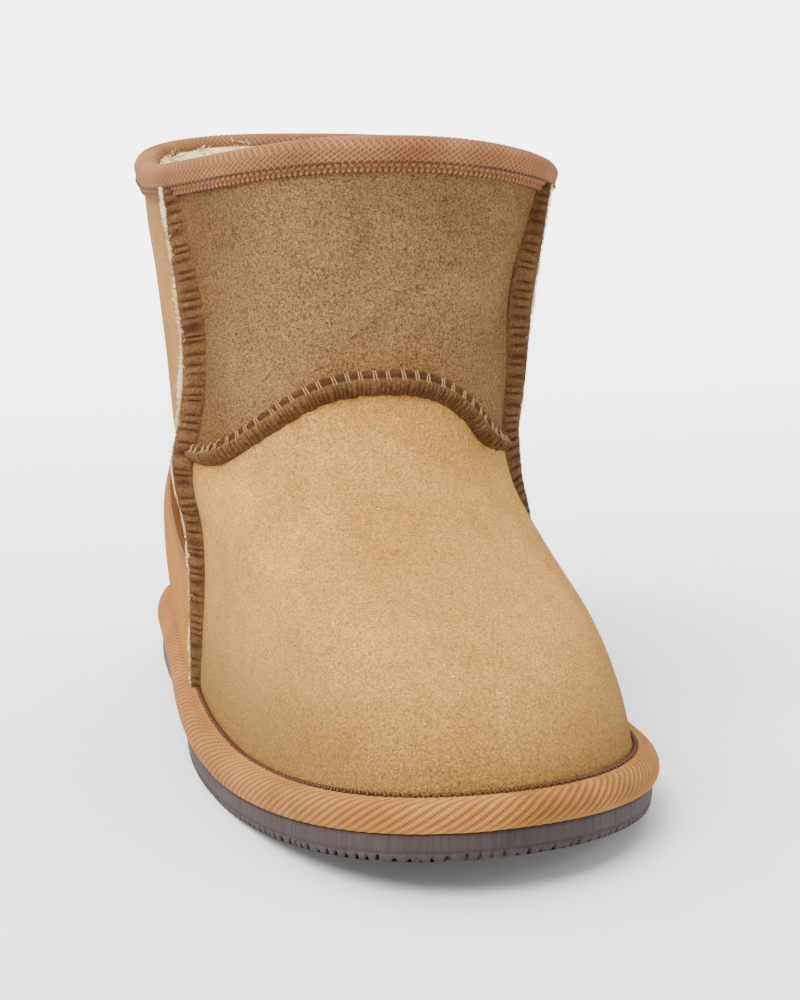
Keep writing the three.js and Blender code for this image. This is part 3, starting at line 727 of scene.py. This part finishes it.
tuft_roots = np.stack([tuft_x, tuft_y, bed_height(tuft_x, tuft_y) - 1.0], -1)
upwards = np.tile([0.0, 0.0, 1.0], (tuft_count, 1))
bed_locks = locks("footbed_locks", tuft_roots, upwards, 13, 3.6, 1.1, 0.0)
dress(bed, wool)
dress(bed_locks, wool)
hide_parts("insole")


# Side seams: both hide edges stand outwards and are oversewn, which pinches the front one into ribs.
# A thin line of wool shows between the two edges.
def level_at_height(angle, height):
    low, high = 0 * angle, 0 * angle + collar
    return halving(low, high, lambda level: upper_point(level, angle)[..., 2] < height, 30)


def crest_level(angle):
    """Level of the sole tape's upper edge."""
    return level_at_height(angle, sole_top(upper_point(0, angle)[..., 1]) + 8.2)


def tape_level(angle):
    """Level of the collar tape's lower edge."""
    return level_at_height(angle, upper_point(collar, angle)[..., 2] - 7)


def path_frames(level, angle):
    """Points on a path over the upper, with its direction, outward normal and the way across it."""
    place = upper_point(level, angle)
    along = np.gradient(place, axis=0)
    along /= np.linalg.norm(along, axis=1, keepdims=True)
    normal = upper_normal(level, angle)
    across = np.cross(along, normal)
    across /= np.linalg.norm(across, axis=1, keepdims=True)
    return place, along, normal, across


def even_path(level, angle, count):
    """The same path, divided into equal lengths, and its length."""
    place = upper_point(level, angle)
    length = run_along(place)
    even = np.linspace(0, length[-1], count)
    return np.interp(even, length, level), np.interp(even, length, angle), length[-1]


def raised_seam(name, level, angle, profile, rib_pitch, rib_depth, rough, sizes, seed):
    """A ridge along a path; profile rows are (across in mm, height in mm, how much the ribs bite).

    Between two stitches the hide puffs up by rib_depth·|sin|^0.6, both outwards and away from the middle.
    The sizes are the ridge's scale at even steps along the path.
    """
    count = 1100
    level, angle, length = even_path(level, angle, count)
    place, along, normal, across = path_frames(level, angle)
    s = np.linspace(0, length, count)
    rng = np.random.default_rng(seed)
    jitter = np.interp(s, np.linspace(0, length, 90), rng.normal(size=90))
    drift = np.interp(s, np.linspace(0, length, 60), rng.normal(size=60)) * 0.25
    wave = np.abs(np.sin(math.pi * (s / rib_pitch + drift)))
    size = np.interp(s / length, np.linspace(0, 1, len(sizes)), sizes)
    rows = []
    masks = []
    profile = through(np.array(profile, float), np.linspace(0, len(profile) - 1, 21))
    middle = (profile[0, 0] + profile[-1, 0]) / 2
    for shift, height, share in profile:
        bite = rib_depth * (1 - wave**0.8) * share
        inward = np.sign(middle - shift) * min(abs(middle - shift), 1)
        moved = (shift + inward * bite + rough * 0.16 * jitter * share) * size
        lift = 0.15 + (height - 0.6 * bite + rough * 0.12 * jitter * share) * size
        rows.append(place + across * moved[:, None] + normal * lift[:, None])
        # Painted shade in the grooves that the stitches bite between the ribs
        masks.append(np.clip(1.3 - 1.5 * wave, 0, 1) * np.clip(share, 0, 1))
    # Painted shade along the ridge's upper edge, which lies lower than the ridge's crest
    upper_edge_shade = np.broadcast_to(ease((-0.9 - profile[:, :1]) / 0.4), (len(profile), count))
    piece = grid_piece(name, np.array(rows), masks={"groove_shade": np.array(masks), "upper_edge_shade": upper_edge_shade})
    return piece, (level, angle, length)


side_profile = [(-3.7, -0.9, 0), (-3.4, 0.3, 0.5), (-2.5, 1.8, 1), (-1.1, 3.2, 1), (0.6, 4.1, 0.8),
                (1.9, 4.3, 0.2), (2.7, 3.6, 0), (3.1, 1.6, 0), (3.4, -0.9, 0)]
side_sizes = [0.5, 0.72, 0.92, 1, 1, 1, 0.95, 0.68]
seam_paths = {}
seam_pieces = []
for side, word in ((-1, "medial"), (1, "lateral")):
    foot = seam_angle(1.2, side)
    top = seam_angle(9.7, side)
    level = np.linspace(float(crest_level(foot)) - 0.05, float(tape_level(top)) + 0.12, 400)
    angle = seam_angle(level, side)
    flipped = side_profile if side > 0 else [(-a, h, s) for a, h, s in side_profile][::-1]
    piece, seam_paths[side] = raised_seam(f"seam_side_{word}", level, angle, flipped, 2.7, 0.75, 1.3,
                                          side_sizes, 21 + side)
    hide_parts(f"side_seam_{word}")
    seam_pieces.append(piece)


def tinted_suede(name, dark, light, grain_share, tints):
    material, tree, shader, group, color, shade = suede(name, dark, light, grain_share)
    finish_suede(tree, shader, group, tinted(tree, color, tints), shade)
    return material


# The ridge's hide is painted darker brown than the panels, partly for its brown oversewing and partly as
# painted shade on its flanks; its grooves get more painted shade
seam_material = tinted_suede("seam_edge", (70, 44, 24), (112, 80, 48), 0.7,
                             [("groove_shade", 0.5, linear(30, 16, 8))])
for piece in seam_pieces:
    dress(piece, seam_material)


# Wool line on each side seam: the fleece's cut edge, which comes out between the two hides in tufts,
# thin in some stretches and thick in others.
for side, word in ((-1, "medial"), (1, "lateral")):
    level, angle, length = seam_paths[side]
    rng = np.random.default_rng(31 + side)
    count = 6200 if side < 0 else 2200
    thick = np.interp(np.arange(len(level)), np.linspace(0, len(level), 44), rng.uniform(0.02, 1, 44) ** 2.2)
    thick *= 0.12 + np.exp(-(((np.linspace(0, 1, len(level)) - 0.68) / 0.24) ** 2))
    whole = rng.choice(len(level), count, p=thick / thick.sum())
    place, along, normal, across = path_frames(level, angle)
    size = np.interp(whole / len(level), np.linspace(0, 1, len(side_sizes)), side_sizes)
    wander = np.interp(whole, np.linspace(0, len(level), 24), rng.normal(size=24)) * 0.45
    behind = (2.2 + wander + rng.normal(size=count) * 0.5) * side
    roots = place[whole] + (across[whole] * behind[:, None] + normal[whole] * 3.5) * size[:, None]
    tufts = locks(f"seam_wool_{word}", roots, normal[whole], 41 + side, 1.6, 0.32, 0.0)
    dress(tufts, wool)


# Instep seam: the same kind of seam laid down, with its oversewing thread in view above it.
def threads(name, paths, radius, sides=6):
    """Short threads: each path (n, k, 3) becomes a tube whose ends taper to a point."""
    count, steps = paths.shape[:2]
    along = np.gradient(paths, axis=1)
    along /= np.linalg.norm(along, axis=-1, keepdims=True)
    aside = np.cross(along, np.array([0.37, 0.11, 0.92]))
    aside /= np.linalg.norm(aside, axis=-1, keepdims=True)
    third = np.cross(along, aside)
    turn = np.arange(sides) * 2 * math.pi / sides
    thick = radius * np.sqrt(np.clip(1 - np.linspace(-1, 1, steps) ** 6, 0.02, 1))
    ring = (aside[:, :, None] * np.cos(turn)[None, None, :, None]
            + third[:, :, None] * np.sin(turn)[None, None, :, None])
    points = paths[:, :, None] + ring * thick[None, :, None, None]
    faces = [
        (s * sides + k, s * sides + (k + 1) % sides, (s + 1) * sides + (k + 1) % sides, (s + 1) * sides + k)
        for s in range(steps - 1) for k in range(sides)
    ]
    return many_quads(name, points.reshape(count, steps * sides, 3), faces)


from_angle = float(seam_angle(instep_level(np.radians(-72.0)), -1)) + 0.02
to_angle = float(seam_angle(instep_level(np.radians(72.0)), 1)) - 0.02
bow_angle = np.linspace(from_angle, to_angle, 400)
bow_level = instep_level(bow_angle)
bow_profile = [(-3.9, -0.9, 0), (-3.7, 0.7, 0), (-3.2, 1.5, 0), (-1.9, 2.0, 0), (-1.0, 1.9, 0.1),
               (-0.5, 2.6, 0.5), (0.5, 3.5, 0.8), (1.8, 3.1, 1), (2.7, 1.8, 1), (3.2, 0.5, 0.6),
               (3.4, -0.9, 0)]
bow, bow_path = raised_seam("seam_instep", bow_level, bow_angle, bow_profile, 1.25, 0.3, 1.6,
                            [0.6, 0.9, 1, 1, 1, 1, 0.9, 0.6], 51)
bow_level, bow_angle, bow_length = bow_path
# Painted shade in the grooves between stitches and along the ridge's upper edge
bow_material = tinted_suede("instep_edge", (72, 46, 26), (112, 79, 46), 0.8, [
    ("groove_shade", 0.45, linear(34, 19, 9)), ("upper_edge_shade", 0.7, linear(48, 27, 13)),
])
dress(bow, bow_material)
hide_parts("instep_seam")


def end_size(at):
    """The stitches shrink towards both ends of the seam, as the ridge does."""
    return np.interp(at / len(bow_level), [0, 0.13, 0.85, 1], [0.6, 0.95, 0.95, 0.6])


place, along, normal, across = path_frames(bow_level, bow_angle)
stitch_count = int(bow_length / 3.7)
stitch_at = np.linspace(30, len(bow_level) - 50, stitch_count)
rng = np.random.default_rng(61)
stitch_paths = []
knots = []
for at in stitch_at:
    k = int(at)
    slip = rng.normal() * 0.4
    size = end_size(k)
    # Two strands cross the edge side by side, one upright and one leaning
    for start, end in ((-0.35, -0.1), (0.25, 0.75)):
        steps = np.linspace(0, 1, 9)
        lean = start + (end - start) * steps + slip
        shift = -4.1 + 4.3 * steps
        rise = np.interp(shift, [-4.1, -3.7, -3.2, -1.9, -1.0, -0.3, 0.3],
                         [0.1, 1.1, 1.9, 2.4, 2.3, 2.9, 3.5])
        over = across[k] * shift[:, None] + normal[k] * rise[:, None]
        stitch_paths.append(place[k] + along[k] * lean[:, None] + over * size)
    knots.append(place[k] + along[k] * (slip - 0.2) + (normal[k] * 1.3 - across[k] * 3.7) * size)
# The strands are linked by a thread along the panel's edge
for first, second in zip(knots[:-1], knots[1:]):
    steps = np.linspace(0.04, 0.96, 9)[:, None]
    k = int(np.argmin(np.sum((place - (first + second) / 2) ** 2, axis=1)))
    slack = (across[k] * 0.35 + normal[k] * 0.25) * np.sin(math.pi * steps)
    stitch_paths.append(first + (second - first) * steps + slack)
instep_thread = threads("stitches_instep", np.array(stitch_paths), 0.2)
# Between two stitches the panel's edge swells into a small block, painted as dark as the ridge's valleys:
# painted shade, for the blocks lie in the seam's shade
puffs = []
for first, second in zip(stitch_at[:-1], stitch_at[1:]):
    at = first + (second - first) * np.linspace(0.14, 0.94, 9)
    k = np.round(at).astype(int)
    size = end_size(at)[:, None]
    arch = 0.5 * np.sin(math.pi * np.linspace(0, 1, 9))[:, None]
    puffs.append(place[k] + (normal[k] * 1.35 - across[k] * (2.2 + arch)) * size)
instep_blocks = threads("seam_blocks", np.array(puffs), 1.0, 12)
add_mask(instep_blocks, "groove_shade", np.ones(len(instep_blocks.data.vertices)))
dress(instep_blocks, bow_material)


def thread_material(name, dark, light):
    """Twisted thread: a fine change of tone along it."""
    material, tree, shader = new_material(name, 0.6)
    twist = noise(tree, object_space(tree), 2600, 2)
    tree.links.new(blend(tree, twist, linear(*dark), linear(*light)), shader.inputs["Base Color"])
    return material


dress(instep_thread, thread_material("thread_tan", (98, 70, 38), (156, 122, 76)))


# Heel counter: a second layer of golden suede round the heel, its cut edge showing dark on top.
def counter_level(angle):
    aside = angle - math.radians(190)
    from_peak = np.abs(np.arctan2(np.sin(aside), np.cos(aside)))
    return 2.9 + 2.35 * ease(1 - from_peak / math.radians(88))


def upper_at(level, angle, out):
    """The outer face moved out by some millimetres."""
    return upper_point(level, angle) + upper_normal(level, angle) * np.asarray(out)[..., None]


counter_columns, counter_rows = 260, 46
column_share = np.linspace(0, 1, counter_columns)
row_share = np.linspace(0, 1, counter_rows)[:, None]
counter_angle = np.broadcast_to(math.pi + 0 * column_share, (counter_rows, counter_columns)).copy()
counter_at = 2.0 + 0 * counter_angle
for _ in range(6):
    start = seam_angle(counter_at, 1, 3.7)
    end = seam_angle(counter_at, -1, 3.7) + 2 * math.pi
    # Steps of equal length need the angles bunched just behind both side seams
    even = even_angles(2001, 2.5, float(start.mean()), float(end.mean()))
    bunched = np.interp(column_share, np.linspace(0, 1, 2001), even)
    counter_angle = start + (bunched[None, :] - bunched[0]) / (bunched[-1] - bunched[0]) * (end - start)
    lowest = crest_level(counter_angle) - 0.03
    counter_at = lowest * (1 - row_share) + counter_level(counter_angle) * row_share
counter_face = upper_at(counter_at, counter_angle, 2.0)
edge_top = upper_at(counter_at[-1:], counter_angle[-1:], 0.3)
edge_middle = counter_face[-1:] * 0.5 + edge_top * 0.5
cut_edge = np.concatenate([np.exp(-(((1 - row_share) * 30) ** 2)), [[1.0], [1.0]]])
counter = grid_piece("heel_counter_skin", np.concatenate([counter_face, edge_middle, edge_top]),
                     masks={"edge": cut_edge})
material = tinted_suede("suede_counter", (140, 90, 32), (166, 114, 48), 0.35,
                        [("edge", 0.8, linear(70, 36, 15))])
dress(counter, material)
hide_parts("heel_counter")

seam_line = counter_face[-5]
seam_step = run_along(seam_line)
stitch_pitch = 3.0
stitch_middle = np.arange(int(seam_step[-1] / stitch_pitch)) * stitch_pitch + stitch_pitch / 2


def points_along(line, step, run):
    """Points at some distances along a line, whose own points lie at the distances in step."""
    return np.stack([np.interp(run, step, line[:, a]) for a in range(3)], -1)


centres = points_along(seam_line, seam_step, stitch_middle)
ahead = points_along(seam_line, seam_step, stitch_middle + 0.5) - centres
ahead /= np.linalg.norm(ahead, axis=1, keepdims=True)
steps = np.linspace(-1.1, 1.1, 7)
counter_paths = centres[:, None] + ahead[:, None] * steps[None, :, None]
thread_gold = thread_material("thread_gold", (66, 38, 15), (104, 66, 30))
dress(threads("stitches_counter", counter_paths, 0.28), thread_gold)


# Pull loop: a suede strip up the back, with a folded loop sewn on it whose mouth is to the side.
def angle_for_x(level, x):
    low, high = 0 * x + math.radians(150), 0 * x + math.radians(210)
    return halving(low, high, lambda angle: upper_point(level, angle)[..., 0] > x)


loop_centre = 127
back_level = float(level_at_height(np.array(math.pi), loop_centre))
back_places = upper_point(back_level, np.radians(np.linspace(150, 210, 121)))
back_x, back_y = back_places[np.argmax(back_places[:, 1]), :2]
strip_x = back_x + 28 * np.linspace(-0.5, 0.5, 60)[None, :]
strip_low = counter_level(angle_for_x(5.25 + 0 * strip_x, strip_x)) + 0.05
strip_share = np.linspace(0, 1, 90)[:, None]
strip_level = strip_low + (float(tape_level(np.array(math.pi))) + 0.05 - strip_low) * strip_share
strip_angle = angle_for_x(strip_level, strip_x + 0 * strip_level)
edge_fall = 1 - np.clip((np.abs(np.linspace(-1, 1, 60)[None, :]) - 0.965) / 0.035, 0, 1) ** 2
strip_face = upper_at(strip_level, strip_angle, 0.2 + 1.8 * np.sqrt(edge_fall) + 0 * strip_level)
strip = grid_piece("loop_strip", strip_face, masks={"edge": 1 - edge_fall + 0 * strip_level})


def loop_row(reach, height, start, count=64):
    turn = np.linspace(0, 2 * math.pi, count, endpoint=False)
    out = (1 - np.cos(turn)) / 2
    fullness = 0.55 + 0.45 * np.sin(math.pi * np.minimum(out * 0.85, 0.5))
    return start + reach * out, loop_centre - height / 2 * np.sin(turn) * fullness


half = 13.0
# across the strip, and how far in from the loop's outer face: out over one rim, and back inside
loop_profile = [(-half + 0.5, 0.0), (-half + 2, 0.0), (0, 0.0), (half - 2, 0.0), (half - 0.5, 0.0),
                (half - 0.1, 0.35), (half, 0.8), (half - 0.1, 1.25), (half - 0.5, 1.6), (0, 1.6),
                (-half + 0.5, 1.6), (-half + 0.1, 1.25), (-half, 0.8), (-half + 0.1, 0.35)]
ring_list = []
for x, inward in loop_profile:
    y, z = loop_row(12.5 - 2 * inward, 15 - 2 * inward, back_y + 1.1 + inward)
    ring_list.append(np.stack([back_x + x + 0 * y, y, z], -1))
loop_edge = np.array([[float(0.2 < inward < 1.5)] for x, inward in loop_profile])
loop = grid_piece("loop_fold", np.array(ring_list), (True, True), flip=True, masks={"edge": loop_edge})
loop_material = tinted_suede("suede_loop", (120, 80, 38), (150, 106, 56), 0.4,
                             [("edge", 0.6, linear(84, 50, 24))])
dress(strip, loop_material)
dress(loop, loop_material)
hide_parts("pull_loop")
strip_stitches = []
offsets = np.linspace(-1.1, 1.1, 7)
for side in (-1, 1):
    near_edge = [30 + side * 27]
    column = upper_at(strip_level[:, near_edge], strip_angle[:, near_edge], 2.05)[:, 0]
    step = run_along(column)
    for middle in np.arange(1.5, step[-1] - 1.5, stitch_pitch):
        strip_stitches.append(points_along(column, step, middle + offsets))
dress(threads("stitches_strip", np.array(strip_stitches), 0.26), thread_gold)


# Sole tape: ribbed twill folded round the joint of upper and sole. Its outer roll shows broad slanting
# ribs, its inner band a finer weave, and a row of dark stitches holds it to the vamp.
def tape_material(name, deep, base, high):
    """Woven tape: ribs from the mesh, a fine cross weave, and valleys darker than the crowns by painted
    shade.
    """
    material, tree, shader = new_material(name, 0.8, 0.05, linear(230, 180, 130), 0.15)
    rib = attribute(tree, "rib")
    uv = add_node(tree, "ShaderNodeTexCoord").outputs["UV"]
    weave = add_node(tree, "ShaderNodeTexWave", {
        "Vector": uv, "Scale": 0.6, "Distortion": 0.8, "Detail": 2.0, "Detail Scale": 2.0,
    }, bands_direction="DIAGONAL").outputs["Fac"]
    space = object_space(tree)
    fibre = noise(tree, space, 2400, 2)
    patch = noise(tree, space, 60, 3)
    lit = blend(tree, contrast(tree, patch, 0.3, 0.7), linear(*base), linear(*high))
    color = blend(tree, contrast(tree, rib, 0.0, 0.95), linear(*deep), lit)
    cloth = maths(tree, "ADD", weave, fibre)
    shade = maths(tree, "ADD", 0.7, maths(tree, "MULTIPLY", cloth, 0.3))
    tree.links.new(darkened(tree, color, shade), shader.inputs["Base Color"])
    tree.links.new(bump(tree, cloth, 0.00025, 0.6), shader.inputs["Normal"])
    return material


def across_tape(controls, count):
    """Smooth rows through a tape's control lines (k, n, 3)."""
    lines, columns = controls.shape[:2]
    rows = through(controls.reshape(lines, -1), np.linspace(0, lines - 1, count))
    return rows.reshape(count, columns, 3)


def grid_normals(points):
    """Normals of a grid that closes along its columns."""
    along = np.roll(points, -1, 1) - np.roll(points, 1, 1)
    over = np.gradient(points, axis=0)
    normal = np.cross(along, over)
    return normal / np.maximum(np.linalg.norm(normal, axis=-1, keepdims=True), 1e-9)


def width_across(points):
    """How far each point lies from the grid's first row, measured over the cloth."""
    steps = np.linalg.norm(np.diff(points, axis=0), axis=-1)
    return np.concatenate([0 * steps[:1], np.cumsum(steps, axis=0)])


sole_ribs, per_rib = 400, 5
tape_columns = sole_ribs * per_rib
tape_angles, tape_round = even_sole_angles(tape_columns)
crest = crest_level(tape_angles)


def tape_edge(offset, lift):
    point = sole_edge(tape_angles, offset, 0.5)
    point[:, 2] = sole_top(point[:, 1]) + lift
    return point


inner_line = upper_at(crest, tape_angles, 0.25)
shoulder = tape_edge(-0.4, 7.4)
crown = inner_line * 0.55 + shoulder * 0.45
crown[:, 2] = inner_line[:, 2] + 0.7
hem = upper_at(crest - 0.02, tape_angles, -0.4)
controls = np.array([
    tape_edge(-0.8, 0.2), tape_edge(0.7, 0.45), tape_edge(1.55, 2.6), tape_edge(1.2, 5.2), shoulder, crown,
    inner_line + np.array([0, 0, 0.25]), hem,
])
tape_count = 27
sole_tape = across_tape(controls, tape_count)
normals = grid_normals(sole_tape)
width = width_across(sole_tape)
run = np.arange(tape_columns)[None, :] / per_rib
coarse = 0.5 + 0.5 * np.cos(2 * math.pi * (run / 2 - 0.46 * width))
fine = np.abs(np.cos(math.pi * (run * 1.5 - 0.9 * width)))
coarse = 0.72 * coarse + 0.28 * fine
place_across = np.linspace(0, 1, tape_count)[:, None]
inner_band = ease((place_across - 0.66) / 0.08)
rib = coarse * (1 - inner_band) + fine * inner_band
height = 0.46 * (coarse - 0.5) * (1 - inner_band) + 0.22 * (fine - 0.5) * inner_band
height -= 0.35 * np.exp(-(((place_across - 0.68) / 0.03) ** 2))
# The ribs run out towards the lower edge, where the tape is pulled flat under the sole
lower_fade = ease((place_across - 0.04) / 0.3)
height *= lower_fade * ease((1 - place_across) / 0.06)
# The rib mask is painted shade in the valleys; it fades towards the lower edge with the ribs
rib = 1 - (1 - rib) * (0.45 + 0.55 * lower_fade)
sole_tape = sole_tape + normals * height[..., None]
tape_u = np.arange(tape_columns + 1) * tape_round / tape_columns
tape_v = np.linspace(0, float(width[-1].mean()), tape_count)
sole_tape_piece = grid_piece("sole_tape", sole_tape, (False, True), uv=(tape_u, tape_v), masks={"rib": rib})
twill_sole = tape_material("twill_sole", (74, 40, 14), (144, 93, 37), (170, 115, 53))
dress(sole_tape_piece, twill_sole)
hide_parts("sole_binding")


def stitch_row(name, line, pitch, length, radius, arc=0.0, normal=None):
    """Stitches along a closed line of points; arc lifts the middle of each."""
    closed = np.concatenate([line, line[:1]])
    step = run_along(closed)
    count = int(step[-1] / pitch)
    starts = np.arange(count) * step[-1] / count
    offsets = np.linspace(-length / 2, length / 2, 7)
    spots = (starts[:, None] + offsets[None, :]) % step[-1]
    paths = points_along(closed, step, spots)
    bow = np.cos(np.linspace(-1, 1, 7) * math.pi / 2)
    if normal is not None:
        way = np.concatenate([normal, normal[:1]])
        paths = paths + points_along(way, step, spots) * (arc * bow)[None, :, None]
    return threads(name, paths, radius)


# A stitch goes over the tape's upper edge every 1.4 mm, leaning, long and short in turn
on_vamp = upper_at(crest + 0.11, tape_angles, 0.2)
crown_row = 21
on_tape = sole_tape[crown_row] + upper_normal(crest, tape_angles) * 0.3
steps = np.linspace(0, 1, 7)[None, :, None]
first, last = on_vamp[::4][:, None], np.roll(on_tape, -2, 0)[::4][:, None]
over_edge = upper_normal(crest, tape_angles)[::4][:, None] * 0.55 * np.sin(math.pi * steps)
reach = np.random.default_rng(71).uniform(0.8, 1.1, (len(first), 1, 1))
reach *= np.where(np.arange(len(first)) % 2, 0.6, 1)[:, None, None]
sole_thread = threads("stitches_sole", first + (last - first) * steps * reach + over_edge, 0.42, 5)
thread_brown = thread_material("thread_brown", (40, 19, 5), (80, 45, 16))
dress(sole_thread, thread_brown)


# Collar tape: the same tape in brown, folded over the top edge, with a bead of dark stitches above its
# lower selvedge and a second row along that edge, both on the outside.
collar_ribs, per_rib = 216, 8
collar_columns = collar_ribs * per_rib
collar_angles = even_angles(collar_columns + 1, 10.0)[:-1]
low = tape_level(collar_angles)
rim = upper_point(collar, collar_angles)


def rim_at(out, lift):
    point = upper_at(collar, collar_angles, out)
    point[:, 2] = rim[:, 2] + lift
    return point


def below_rim(share, out):
    level = low + (collar - low) * share
    return upper_at(level, collar_angles, out)


controls = np.array([
    below_rim(-0.02, 0.1), below_rim(0.0, 1.25), below_rim(0.3, 1.7), below_rim(0.62, 1.95),
    rim_at(2.05, -0.7), rim_at(0.6, 1.5), rim_at(-1.6, 1.95), rim_at(-3.7, 1.4), rim_at(-5.2, -0.8),
    below_rim(0.5, -5.0), below_rim(0.0, -4.6), below_rim(-0.02, -3.2),
])
collar_count = 31
collar_tape = across_tape(controls, collar_count)
normals = grid_normals(collar_tape)
width = width_across(collar_tape)
run = np.arange(collar_columns)[None, :] / per_rib
coarse = np.abs(np.cos(math.pi * (run - 0.62 * width)))
to_end = width[-1] - width
selvedge = np.clip((1 - ease((width - 1.9) / 0.3)) + (1 - ease((to_end - 1.9) / 0.3)), 0, 1)
bars = np.abs(np.cos(math.pi * run * 1.25)) ** 1.5
rib = coarse * (1 - selvedge) + bars * selvedge
gutter = np.exp(-(((width - 2.3) / 0.4) ** 2)) + np.exp(-(((to_end - 2.3) / 0.4) ** 2))
height = 0.55 * (rib - 0.5) * (1 - 0.3 * selvedge) - 0.5 * gutter
height *= ease(width / 0.6) * ease(to_end / 0.6)
collar_tape = collar_tape + normals * height[..., None]
collar_round = 430
collar_u = np.arange(collar_columns + 1) * collar_round / collar_columns
collar_v = np.linspace(0, float(width[-1].mean()), collar_count)
# Painted shade in the rib valleys and in the gutters beside both selvedges
collar_tape_piece = grid_piece("collar_tape", collar_tape, (False, True), uv=(collar_u, collar_v),
                               masks={"rib": rib * (1 - 0.7 * np.clip(gutter, 0, 1))})
twill_collar = tape_material("twill_collar", (62, 34, 19), (126, 82, 48), (150, 104, 66))
dress(collar_tape_piece, twill_collar)
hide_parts("collar_binding")
outward = upper_normal(low, collar_angles)
collar_thread = stitch_row("stitches_collar", below_rim(0.34, 1.75), 1.9, 1.6, 0.38, 0.3, outward)
collar_edge_thread = stitch_row("stitches_collar_edge", below_rim(-0.03, 0.55), 1.9, 1.7, 0.3)
dress(collar_thread, thread_brown)
dress(collar_edge_thread, thread_brown)
